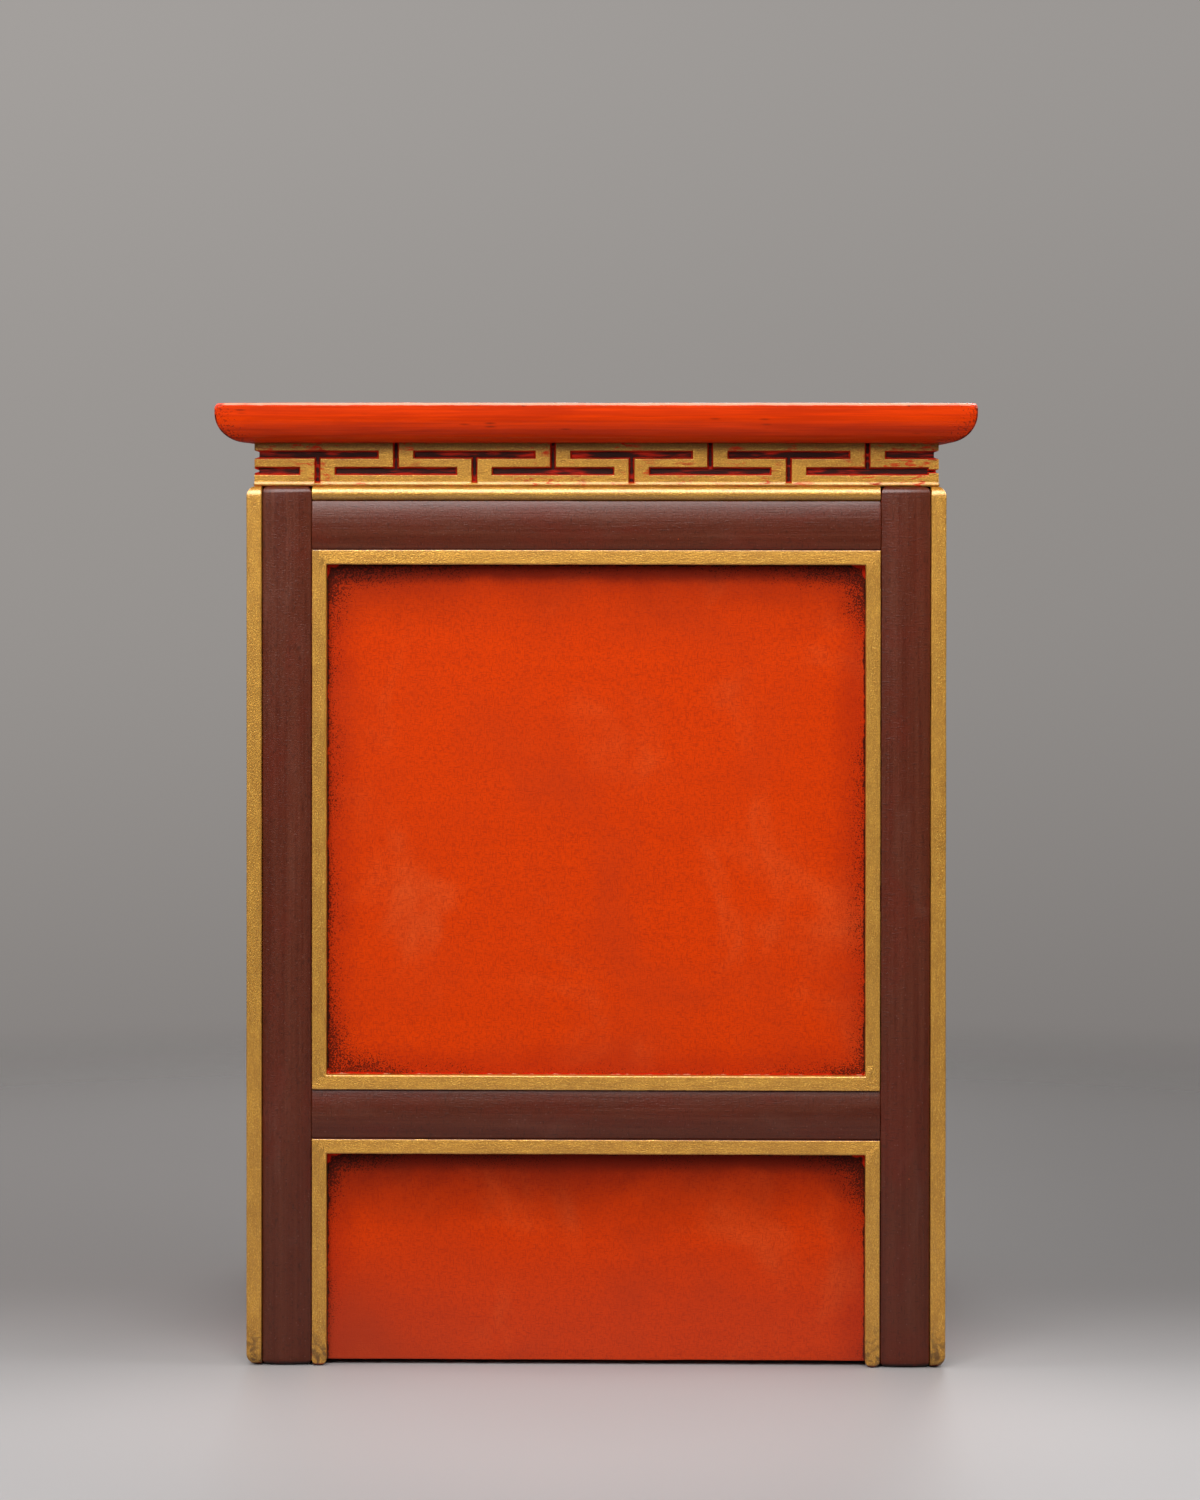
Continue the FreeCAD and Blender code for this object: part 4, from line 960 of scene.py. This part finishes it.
def fret(s, start, end, spare):
    """The slots of a fret, each as its left, its right, its foot and its head."""
    upper, lower = start.z + s.fret_upper, start.z + s.fret_lower
    foot, head = start.z + s.fret_lip, end.z + spare
    slots = []
    for turn in range(int((end.x - start.x) / s.fret_period) + 2):
        standing = start.x + s.fret_lead + turn * s.fret_period
        for middle, level, bottom, top in (
            (standing, upper, foot, upper + s.fret_height),
            (standing - s.fret_period / 2, lower, lower, head),
        ):
            for half, low_end, high_end in (
                (s.fret_slot / 2, level, level + s.fret_height), (s.fret_bar / 2, bottom, top)
            ):
                slots.append((middle - half, middle + half, low_end, high_end))

    # Slots that nearly reach the end of the board run out of it.
    near, first, last = 0.003, start.x - spare, end.x + spare
    slots = [
        (first if a < start.x + near else a, last if b > end.x - near else b, c, d)
        for a, b, c, d in slots
        if a < end.x - near and b > start.x + near
    ]
    stopped = max(b for a, b, c, d in slots if c == lower and b < end.x)
    narrow = s.fret_height * 0.24
    slots.append((stopped, last, lower + narrow, lower + s.fret_height - narrow))
    return slots


class CABINET_OT_friezes(Step):
    """Build the frieze boards and carve the interlocking T slots"""

    bl_idname = "cabinet.friezes"
    bl_label = "Carved friezes"

    def make(self, s):
        for seed, face in enumerate(FACES, start=11):
            node, place = "frieze_" + face, put(face)
            start, end = own_box(node, place)
            front, spare = s.fret_inset, 0.012
            bm = bmesh.new()
            blank(
                bm, (start.x - spare, front, start.z - spare),
                (end.x + spare, end.y, end.z + spare),
            )
            slots = fret(s, start, end, spare * 0.6)
            score(bm, 0, sorted({value for slot in slots for value in slot[:2]}))
            score(bm, 2, sorted({value for slot in slots for value in slot[2:]}))

            def in_slot(surface):
                x, y, z = surface.calc_center_median()
                inside = any(a < x < b and c < z < d for a, b, c, d in slots)
                return inside and surface.normal.y < -0.5

            bmesh.ops.inset_region(
                bm, faces=list(filter(in_slot, bm.faces)), thickness=s.fret_slope,
                depth=-s.fret_depth, use_even_offset=True, use_boundary=True,
            )
            mitre = Vector((1, 1, 0)).normalized()
            for point, normal in (
                (start, -Z), (end, Z), ((end.x, front, 0), mitre),
                ((start.x, front, 0), (-mitre.x, mitre.y, 0)),
            ):
                saw(bm, point, normal)
            merge_flats(bm)
            lines = note_lines(bm)

            def on_show(edge):
                x, y, z = halfway(edge)
                at_mitre = abs(x) + y > end.x + front - 1e-5
                return y < front + s.fret_depth + 1e-5 and not at_mitre

            ease(bm, radius=0.00042, wanted=on_show)
            score(bm, 0, steps(start.x, end.x, pitch=0.006))
            score(bm, 2, [start.z + s.fret_lip * share for share in (0.5, 1, 1.5)])
            for vert in bm.verts:
                rise = (vert.co.z - start.z) / s.fret_lip
                if vert.co.y < front + s.fret_depth * 0.3 and rise < 1.01:
                    vert.co.y -= s.fret_lip_reach * math.sin(math.pi * min(1, max(0.12, rise)))
            stray(bm, s.waver * 0.8, s.stray * 0.35, seed)
            finish(
                bm, node, "carved", "gold_fret", place=place, lines=lines, seed=seed, front=front
            )


def outer_end(edge, level):
    """Whether an edge is an outer one of a corner strip's head or foot."""
    x, y, z = halfway(edge)
    return is_level(edge) and abs(z - level) <= HAIR and min(x, y) < HAIR


class CABINET_OT_posts(Step):
    """Build the four posts and their gold corner strips"""

    bl_idname = "cabinet.posts"
    bl_label = "Posts and corner strips"

    def make(self, s):
        near, far, inset = s.strip, s.post, s.band_inset
        section = [
            (near, near), (near, inset), (far, inset), (far, far), (inset, far), (inset, near)
        ]
        spans = [(near, 0.0, s.case_height)]
        for trim in ("frame_moulding_right", "apron_moulding_right"):
            spans.append((far, low(trim).z, high(trim).z))
        for number, corner in enumerate(CORNERS):
            place = put(corner)
            bm = bmesh.new()
            crown = (s.band_crown, 9)
            bar(bm, [Vector((x, y, 0)) for x, y in section], {1: crown, 4: crown}, Z * s.case_height)
            ridges, valleys = note_lines(bm)
            for across, foot, head in spans:
                for x, y in ((across, inset), (inset, across)):
                    valleys.append([(x, y, foot), (x, y, head)])
            ease(bm, s.band_end, segments=4, wanted=is_level, clamp=False)
            ease(bm, s.ease)
            score(bm, 2, steps(0, s.case_height, pitch=0.012) + [0.003, 0.006])
            stray(bm, s.waver, s.stray, 21 + number)
            finish(
                bm, "post_" + corner, "painted", "brown_paint", place=place, strokes=UPRIGHT,
                lines=(ridges, valleys), seed=21 + number,
            )
            bm = bmesh.new()
            blank(bm, (0, 0, 0), (s.strip, s.strip, s.case_height))
            lines = note_lines(bm)
            for level, radius in ((s.case_height, s.strip_head), (0, s.strip_foot)):
                ease(bm, radius, 6, wanted=lambda edge: outer_end(edge, level), clamp=False)
            ease(bm, radius=0.0009, least=0.9)
            score(bm, 2, steps(0, s.case_height, pitch=0.008))
            score(bm, 0, [s.strip * 0.5])
            score(bm, 1, [s.strip * 0.5])
            stray(bm, s.waver, s.stray, 31 + number)
            finish(
                bm, "corner_strip_" + corner, "gilt", "gold_paint", place=place,
                strokes=UPRIGHT, lines=lines, seed=31 + number,
            )


class CABINET_OT_rails(Step):
    """Build the round-faced rails"""

    bl_idname = "cabinet.rails"
    bl_label = "Rails"

    def make(self, s):
        half, front, lip = s.reach - s.post, s.rail_inset, 0.005
        for seed, face in enumerate(FACES, start=41):
            place = put(face)
            for label in ("upper_rail_", "lower_rail_"):
                start, end = own_box(label + face, place)
                foot, back, head = start.z, end.y, end.z
                corners = [(front, foot), (back, foot), (back, head)]
                if label == "upper_rail_":
                    top = low("bead_" + face).z
                    corners += [(lip, head), (lip, top), (front, top)]
                else:
                    top = head
                    corners += [(front, top)]
                bm = bmesh.new()
                bar(
                    bm, [Vector((-half, y, z)) for y, z in corners],
                    {len(corners) - 1: (s.rail_crown, 9)}, X * 2 * half,
                )
                meets = [[(-half, front, level), (half, front, level)] for level in (top, foot)]
                ease(bm, s.ease)
                score(bm, 0, steps(-half, half, pitch=0.012) + [-half + 0.002, half - 0.002])
                stray(bm, s.waver, s.stray, seed)
                finish(
                    bm, label + face, "painted", "brown_paint", place=place,
                    lines=([], meets), seed=seed,
                )


class CABINET_OT_beads(Step):
    """Build the half-round gold beads over the upper rails"""

    bl_idname = "cabinet.beads"
    bl_label = "Beads"

    def make(self, s):
        for seed, face in enumerate(FACES, start=51):
            place = put(face)
            start, end = own_box("bead_" + face, place)
            back, flat = end.y + 0.0004, end.y
            section = [(back, start.z), (back, end.z), (flat, end.z), (flat, start.z)]
            bm = bmesh.new()
            bar(
                bm, [Vector((start.x, y, z)) for y, z in section], {2: (s.bead_crown, 13)},
                X * (end.x - start.x),
            )
            ease(bm, s.bead_end, segments=4, wanted=lambda edge: run(edge, 0) < HAIR)
            score(bm, 0, steps(start.x, end.x, pitch=0.006))
            stray(bm, s.waver * 1.2, s.stray * 0.5, seed)
            finish(bm, "bead_" + face, "gilt", "gold_paint", place=place, seed=seed)


def frame_lines(start, end, width, depth, open_foot=False):
    """The four edges that a moulding of that width makes on the panel behind it."""
    left, right, head = start.x + width, end.x - width, end.z - width
    foot = start.z - 0.05 if open_foot else start.z + width
    return around([
        (left, depth, foot), (right, depth, foot), (right, depth, head), (left, depth, head)
    ])


def finish_panel(s, bm, node, trim, place, seed, body="case"):
    """Finishes a panel by the moulding that frames it: its lines, its corners and its back."""
    front = own_box(node, place)[0].y
    edges = frame_lines(*own_box(trim, place), s.moulding, front, node.startswith("apron"))
    finish(
        bm, node, "painted", "red_panel", "inner_wood", body=body, place=place,
        lines=(edges[2:3], edges), corners=[[a, (a[0], a[1] + 0.001, a[2])] for a, b in edges],
        seed=seed, front=front,
    )


def follow_frame(bm, trim, place, width):
    """Lines cut across a panel where its moulding ends, and close beside them."""
    start, end = own_box(trim, place)
    for near in (0.0, 0.0025):
        for axis in (0, 2):
            score(bm, axis, [start[axis] + width + near, end[axis] - width - near])


class CABINET_OT_panels(Step):
    """Build the red panels and aprons"""

    bl_idname = "cabinet.panels"
    bl_label = "Panels and aprons"

    def make(self, s):
        for number, face in enumerate(FACES):
            place = put(face)
            for kind, trim, first in (
                ("panel_", "frame_moulding_", 61), ("apron_", "apron_moulding_", 71)
            ):
                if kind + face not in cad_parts:
                    continue
                start, end = own_box(kind + face, place)
                bm = bmesh.new()
                blank(bm, start, end)
                ease(bm, radius=0.0006, segments=2)
                grade(bm, start, end, pitch=0.007)
                follow_frame(bm, trim + face, place, s.moulding)
                stray(bm, s.waver * 1.6, s.stray * 1.8, 61 + number)
                for surface in bm.faces:
                    surface.material_index = int(surface.normal.y > 0.7)
                finish_panel(s, bm, kind + face, trim + face, place, first + number)


def moulding(s, node, place, seed, body="case"):
    """A gold moulding: its lengths joined at the mitres, eased and gone over by hand."""
    start, end = own_box(node, place)
    bm = copy_of(node, place)
    knit(bm, gap=0.00015)
    lines = note_lines(bm)
    closed = not node.startswith("apron")
    if not closed:

        def at_foot(edge):
            foot = max(vert.co.z for vert in edge.verts) < start.z + 1e-5
            return foot and run(edge, 0) < 1e-5

        ease(bm, s.moulding_foot, segments=5, wanted=at_foot, clamp=False)
    ease(bm, radius=0.0008, least=0.9)
    half = s.moulding / 2
    for axis in (0, 2):
        first, last = start[axis], end[axis]
        score(bm, axis, steps(first, last, pitch=0.008) + [first + half, last - half])
    stray(bm, s.waver, s.stray * 0.8, seed)
    middle = (start + end) / 2
    for surface in bm.faces:
        spot = surface.calc_center_median()
        side = Vector((spot.x - middle.x, 0, spot.z - middle.z))
        outer = min(spot.x - start.x, end.x - spot.x, end.z - spot.z, spot.z - start.z)
        if outer < 0.0003 and abs(surface.normal.y) < 0.75 and surface.normal.dot(side) > 0:
            surface.material_index = 1
    finish(
        bm, node, "gilt", "gold_paint", "brown_paint", body=body, place=place,
        strokes=lambda points: round_the_frame(points, start, end, closed),
        lines=lines, seed=seed, front=start.y,
    )


class CABINET_OT_mouldings(Step):
    """Build the gold mouldings round the panels and aprons"""

    bl_idname = "cabinet.mouldings"
    bl_label = "Mouldings"

    def make(self, s):
        for number, face in enumerate(FACES):
            for kind, first in (("frame_moulding_", 81), ("apron_moulding_", 86)):
                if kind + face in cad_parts:
                    moulding(s, kind + face, put(face), first + number)


class CABINET_OT_door(Step):
    """Build the door: its board, its gold moulding and its battens"""

    bl_idname = "cabinet.door"
    bl_label = "Door"

    def make(self, s):
        place = put("front")
        start, end = own_box("door_panel", place)
        bm = copy_of("door_panel", place)
        ease(bm, radius=0.0005, segments=2, least=1.2)
        grade(bm, start, end, pitch=0.008)
        follow_frame(bm, "door_moulding", place, s.moulding)
        for surface in bm.faces:
            if surface.normal.y > 0.3 or surface.calc_center_median().y > start.y + 0.003:
                surface.material_index = 1
        finish_panel(s, bm, "door_panel", "door_moulding", place, seed=91, body="door")
        moulding(s, "door_moulding", place, seed=92, body="door")
        bm = copy_of("door_battens")
        lines = note_lines(bm)
        ease(bm, radius=0.0015)
        score(bm, 0, steps(start.x, end.x, pitch=0.02))
        stray(bm, s.waver, s.stray, 93)
        finish(bm, "door_battens", "planed", "inner_wood", body="door", lines=lines, seed=93)


class CABINET_OT_inner_boards(Step):
    """Build the boards, cleats and battens inside"""

    bl_idname = "cabinet.inner_boards"
    bl_label = "Inner boards"

    def make(self, s):
        boards = {
            "top_battens": BOARD_INWARDS, "floor_board": BOARD_ACROSS,
            "floor_cleats": BOARD_INWARDS, "shelf": BOARD_ACROSS,
            "shelf_cleats": BOARD_INWARDS, "door_stop": BOARD_ACROSS,
        }
        for seed, (node, strokes) in enumerate(boards.items(), start=101):
            start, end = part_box(node)
            bm = copy_of(node)
            lines = note_lines(bm)
            ease(bm, radius=0.0009)
            grade(bm, start, end, pitch=0.02, axes=(0, 1))
            stray(bm, s.waver, s.stray, seed)
            finish(bm, node, "planed", "inner_wood", strokes=strokes, lines=lines, seed=seed)


def turned(bm, profile, centre, axis, side, count):
    """A turned solid: a profile of (distance along the axis, radius) spun about an axis."""
    verts = [bm.verts.new(centre + axis * along + side * radius) for along, radius in profile]
    edges = [bm.edges.new(pair) for pair in zip(verts, verts[1:])]
    bmesh.ops.spin(
        bm, geom=verts + edges, cent=centre, axis=axis, angle=2 * math.pi, steps=count,
        use_merge=True,
    )
    bmesh.ops.remove_doubles(bm, verts=bm.verts[:], dist=HAIR)


def dome(radius, rise, base, cuts=6):
    """A profile from the middle of a dome out to its foot, rising along the axis from base."""
    turns = [math.pi / 2 * number / cuts for number in range(cuts + 1)]
    return [(base + rise * math.cos(turn), radius * math.sin(turn)) for turn in turns]


def screw_head(bm, centre, inwards):
    """A countersunk head with a slot across it, and the shank under it."""
    rim, neck, length, slot, deep = 0.0027, 0.0016, 0.011, 0.0004, 0.0006
    profile = [
        (0.00004, 0), (0.00004, rim - 0.0003), (0.0001, rim), (0.001, neck), (length, neck),
        (length + 0.001, 0),
    ]
    part = bmesh.new()
    turned(part, profile, Vector(), -Z, X, count=24)
    point_out(part)
    score(part, 1, (-slot, slot))
    cut = [
        face for face in part.faces
        if face.normal.z > 0.9 and abs(face.calc_center_median().y) < slot
    ]
    made = bmesh.ops.extrude_face_region(part, geom=cut)["geom"]
    bmesh.ops.delete(part, geom=cut, context="FACES")
    bmesh.ops.translate(part, vec=-Z * deep, verts=only(made, BMVert))
    turn = (-Z).rotation_difference(inwards).to_matrix().to_4x4()
    bmesh.ops.transform(part, matrix=Matrix.Translation(centre) @ turn, verts=part.verts[:])
    mesh = as_mesh(part, "screw")
    bm.from_mesh(mesh)
    bpy.data.meshes.remove(mesh)


class CABINET_OT_hinges(Step):
    """Build the two butt hinges with their pins and screws"""

    bl_idname = "cabinet.hinges"
    bl_label = "Hinges"

    def make(self, s):
        bodies = ("case", "door")
        for seed, body in enumerate(bodies, start=111):
            node = "hinge_leaves_" + body
            bm = copy_of(node)
            lines = note_lines(bm)
            finish(bm, node, "brass", "brass", body=body, strokes=UPRIGHT, lines=lines, seed=seed)
        foot, head = low("hinge_leaves_case").z, high("hinge_leaves_case").z
        length, apart = 0.04, 0.012
        start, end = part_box("hinge_pins")
        middle = (start + end) / 2
        ball = dome(radius=0.002, rise=0.002, base=0.002)
        ball += [(0.0012, 0.0018), (0.0004, 0.0013), (-0.0002, 0.0013)]
        lower = [(-along, radius) for along, radius in ball]
        upper = [(length + along, radius) for along, radius in ball]
        bm = bmesh.new()
        for base in (foot, head - length):
            turned(bm, lower + upper[::-1], Vector((*middle.xy, base)), Z, X, count=24)
        point_out(bm)
        finish(bm, "hinge_pins", "brass", "brass", strokes=UPRIGHT, seed=113)
        for seed, body, way in zip((114, 115), bodies, (-1, 1)):
            node = "hinge_screws_" + body
            start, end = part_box(node)
            x, y = end.x if way < 0 else start.x, (start.y + end.y) / 2
            bm = bmesh.new()
            for centre in (foot + length / 2, head - length / 2):
                for side in (-apart, apart):
                    screw_head(bm, Vector((x, y, centre + side)), X * way)
            finish(bm, node, "brass", "brass", body=body, seed=seed)


class CABINET_OT_ring_pull(Step):
    """Build the ring pull: plate, eye, nut and ring"""

    bl_idname = "cabinet.ring_pull"
    bl_label = "Ring pull"

    def make(self, s):
        start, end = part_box("pull_plate")
        middle = (start + end) / 2
        radius, thick = (end.x - start.x) / 2, end.y - start.y
        rings = (
            (0, 0), (0, radius - 0.0002), (0.55, radius), (0.75, radius - 0.0003),
            (0.8, radius - 0.0012), (0.5, radius - 0.0022), (0.55, radius - 0.003),
            (0.8, radius - 0.0045), (0.93, radius * 0.45), (0.97, 0.0036), (1, 0.003), (1, 0),
        )
        profile = [(-thick * share, away) for share, away in rings]
        bm = bmesh.new()
        turned(bm, profile, Vector((middle.x, end.y, middle.z)), Y, Z, count=56)
        self.finish_brass(bm, "pull_plate", 121)

        pivot = Vector((middle.x, (low("pull_ring").y + high("pull_ring").y) / 2, middle.z))
        half, rim, hole, shank = 0.003, 0.0036, 0.0016, 0.0021
        eye = [
            (-half, hole), (-half, rim - 0.0006), (-half + 0.0005, rim), (half - 0.0005, rim),
            (half, rim - 0.0006), (half, hole), (-half, hole),
        ]
        tail = high("pull_eye").y - pivot.y
        bolt = [
            (0.0024, 0), (0.0024, 0.0019), (0.004, shank), (tail - 0.0008, shank),
            (tail, 0.0014), (tail, 0),
        ]
        bm = bmesh.new()
        turned(bm, eye, pivot, X, Z, count=32)
        turned(bm, bolt, pivot, Y, Z, count=24)
        self.finish_brass(bm, "pull_eye", 122)

        start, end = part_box("pull_nut")
        seat = Vector((middle.x, start.y, middle.z))
        washer, top = 0.0008, end.y - start.y - 0.0001
        bm = bmesh.new()
        disc = [(0, shank), (0, 0.0044), (0.0006, 0.0045), (washer, 0.0043)]
        six_sided = [
            (washer, 0.0036), (0.0011, 0.0042), (top - 0.0004, 0.0042), (top, 0.0036), (top, shank)
        ]
        for profile, count in ((disc, 32), (six_sided, 6)):
            turned(bm, [(washer, shank), *profile, (washer, shank)], seat, Y, Z, count)
        self.finish_brass(bm, "pull_nut", 123, even=False)

        # The ring: a bow whose two ends meet in a straight bar, which hangs in the eye.
        wire, bow, half_bar = 0.0015, 0.013, 0.005
        drop = math.sqrt(bow * bow - half_bar * half_bar)
        heart = pivot - Z * drop
        slant = math.atan2(half_bar, drop)
        out = Vector((math.sin(slant), 0, math.cos(slant)))
        turn = Z.rotation_difference(Vector((out.z, 0, -out.x))).to_matrix().to_4x4()
        place = Matrix.Translation(heart + out * bow) @ turn
        bm = bmesh.new()
        bmesh.ops.create_circle(bm, segments=16, radius=wire, matrix=place)
        bmesh.ops.spin(
            bm, geom=bm.verts[:] + bm.edges[:], cent=heart, axis=Y,
            angle=2 * (math.pi - slant), steps=56,
        )
        bmesh.ops.bridge_loops(bm, edges=[edge for edge in bm.edges if edge.is_boundary])
        self.finish_brass(bm, "pull_ring", 124, "ring")

    def finish_brass(self, bm, node, seed, body="door", even=True):
        point_out(bm)
        finish(bm, node, "brass", "brass", body=body, seed=seed, even=even)


class CABINET_OT_catch(Step):
    """Build the magnet and its strike plate"""

    bl_idname = "cabinet.catch"
    bl_label = "Catch"

    def make(self, s):
        for seed, node, way, material, body, radius, segments in (
            (131, "catch_magnet", "block", "inner_wood", "case", 0.0012, 3),
            (132, "catch_strike", "steel", "steel", "door", 0.0003, 2),
        ):
            bm = bmesh.new()
            blank(bm, *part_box(node))
            lines = note_lines(bm)
            ease(bm, radius, segments)
            finish(bm, node, way, material, body=body, strokes=UPRIGHT, lines=lines, seed=seed)


class CABINET_OT_stage(Step):
    """Lay the pale floor, hang the soft lights and set up the camera"""

    bl_idname = "cabinet.stage"
    bl_label = "Stage"

    def make(self, s):
        self.lay_floor(paints())
        self.light_studio(paints())
        self.hang_lamps()
        self.set_camera()

    def lay_floor(self, hue):
        bm = bmesh.new()
        bmesh.ops.create_circle(bm, cap_ends=True, segments=96, radius=2.4)
        floor = in_scene("floor", as_mesh(bm, "floor"))
        material = bpy.data.materials.new("floor_paper")
        material.use_nodes = True
        floor.data.materials.append(material)
        paper = Nodes(material.node_tree)
        place = paper.add("TexCoord").outputs["Object"]
        towards, aside = paper.split(place)[:2]
        # The floor is painted with its light: darker behind the cabinet and darkest towards one side
        # there, which is painted shade, and paler just before the cabinet, a painted pool of light.
        far = paper.mixed(paper.fade(aside, -0.1, 0.45), hue.floor_painted_shade, hue.floor_painted_deep_shade)
        base = paper.mixed(paper.fade(towards, 0.46, -0.1), hue.floor, far)
        inputs = {0: place, 1: (0.34, 0.0, 0.0)}
        away = paper.add("VectorMath", inputs, operation="DISTANCE").outputs["Value"]
        base = paper.mixed(paper.fade(away, 0.4, 0.1, 0.0, 0.7), base, hue.floor_painted_light)
        length = paper.add("VectorMath", {0: place}, operation="LENGTH").outputs["Value"]
        paper.give(
            Base_Color=base, Roughness=0.5, Specular_IOR_Level=0.08,
            Alpha=paper.fade(length, 1.7, 0.9),
        )

    def light_studio(self, hue):
        world = bpy.data.worlds.new("studio")
        bpy.context.scene.world = world
        world.use_nodes = True
        world.node_tree.nodes.clear()
        studio = Nodes(world.node_tree)
        aside, height = studio.split(studio.add("TexCoord").outputs["Generated"])[1:]
        # The backdrop seen straight on is painted with its light: paler at its head, darker towards
        # its foot and to one side.
        lower = studio.mixed(studio.fade(height, -0.18, 0.01), hue.back_low, hue.back_middle)
        shown = studio.mixed(studio.fade(height, -0.01, 0.12), lower, hue.back_high)
        soft = (1.0, 0.99, 0.975, 1.0)
        sight, fill, shine = (
            studio.add("Background", {0: tint, 1: strength}).outputs[0]
            for tint, strength in (
                (shown, studio.fade(aside, -0.2, 0.2, 1.04, 0.9)), (soft, 0.24),
                (soft, studio.fade(height, 0.12, 0.52, 0.07, 2.3)),
            )
        )
        rays = studio.add("LightPath").outputs
        inputs = {0: rays["Is Glossy Ray"], 1: fill, 2: shine}
        unseen = studio.add("MixShader", inputs).outputs[0]
        inputs = {0: rays["Is Camera Ray"], 1: unseen, 2: sight}
        studio.add("OutputWorld", {0: studio.add("MixShader", inputs).outputs[0]})

    def hang_lamps(self):
        target = Vector((0, 0, 0.3))
        for name, spot, width, power in (
            ("key", (1.45, -0.15, 1.75), 1.6, 37.0),
            ("sheen", (2.5, -1.1, 1.4), 0.8, 11.0),
            ("left", (0.3, -2.0, 1.7), 1.2, 30.0),
            ("right", (0.3, 2.0, 1.7), 1.2, 30.0),
            ("behind", (-2.0, 0.2, 1.7), 1.2, 30.0),
        ):
            light = bpy.data.lights.new(name, "AREA")
            light.shape, light.size, light.energy = "DISK", width, power
            lamp = in_scene(name, light)
            lamp.location = spot
            lamp.rotation_euler = (target - Vector(spot)).to_track_quat("-Z", "Y").to_euler()

    def set_camera(self):
        camera = bpy.data.cameras.new("camera")
        camera.sensor_width, camera.lens, camera.clip_end = 36, 106.56, 50
        camera.shift_y = -0.1414
        eye = in_scene("camera", camera)
        eye.location = (2.9745, 0.0482, 0.54)
        turn, tilt, roll = (
            Matrix.Rotation(math.radians(degrees), 3, axis)
            for degrees, axis in ((90.95, "Z"), (89.5, "X"), (0.046, "Z"))
        )
        eye.rotation_euler = (turn @ tilt @ roll).to_euler()
        bpy.context.scene.camera = eye
        bpy.context.scene.view_settings.view_transform = "Standard"


STEPS = (
    CABINET_OT_finishes, CABINET_OT_stage, CABINET_OT_top_board, CABINET_OT_friezes,
    CABINET_OT_posts, CABINET_OT_rails, CABINET_OT_beads, CABINET_OT_panels,
    CABINET_OT_mouldings, CABINET_OT_door, CABINET_OT_inner_boards, CABINET_OT_hinges,
    CABINET_OT_ring_pull, CABINET_OT_catch,
)


class CABINET_PT_steps(Panel):
    """Lists the steps, sizes and colours in the sidebar"""

    bl_idname = "CABINET_PT_steps"
    bl_label = "Painted cabinet"
    bl_space_type = "VIEW_3D"
    bl_region_type = "UI"
    bl_category = "Cabinet"

    def draw(self, context):
        for step in STEPS:
            self.layout.operator(step.bl_idname)
        for group in (context.scene.cabinet_sizes, context.scene.cabinet_paints):
            column = self.layout.column()
            for name in group.__annotations__:
                column.prop(group, name)


CLASSES = (CabinetSizes, CabinetPaints, *STEPS, CABINET_PT_steps)


def register():
    for item in CLASSES:
        bpy.utils.register_class(item)
    bpy.types.Scene.cabinet_sizes = PointerProperty(type=CabinetSizes)
    bpy.types.Scene.cabinet_paints = PointerProperty(type=CabinetPaints)


def unregister():
    del bpy.types.Scene.cabinet_paints
    del bpy.types.Scene.cabinet_sizes
    for item in reversed(CLASSES):
        bpy.utils.unregister_class(item)


def main():
    register()
    for step in STEPS:
        group, name = step.bl_idname.split(".")
        getattr(getattr(bpy.ops, group), name)()


if __name__ == "__main__":
    main()
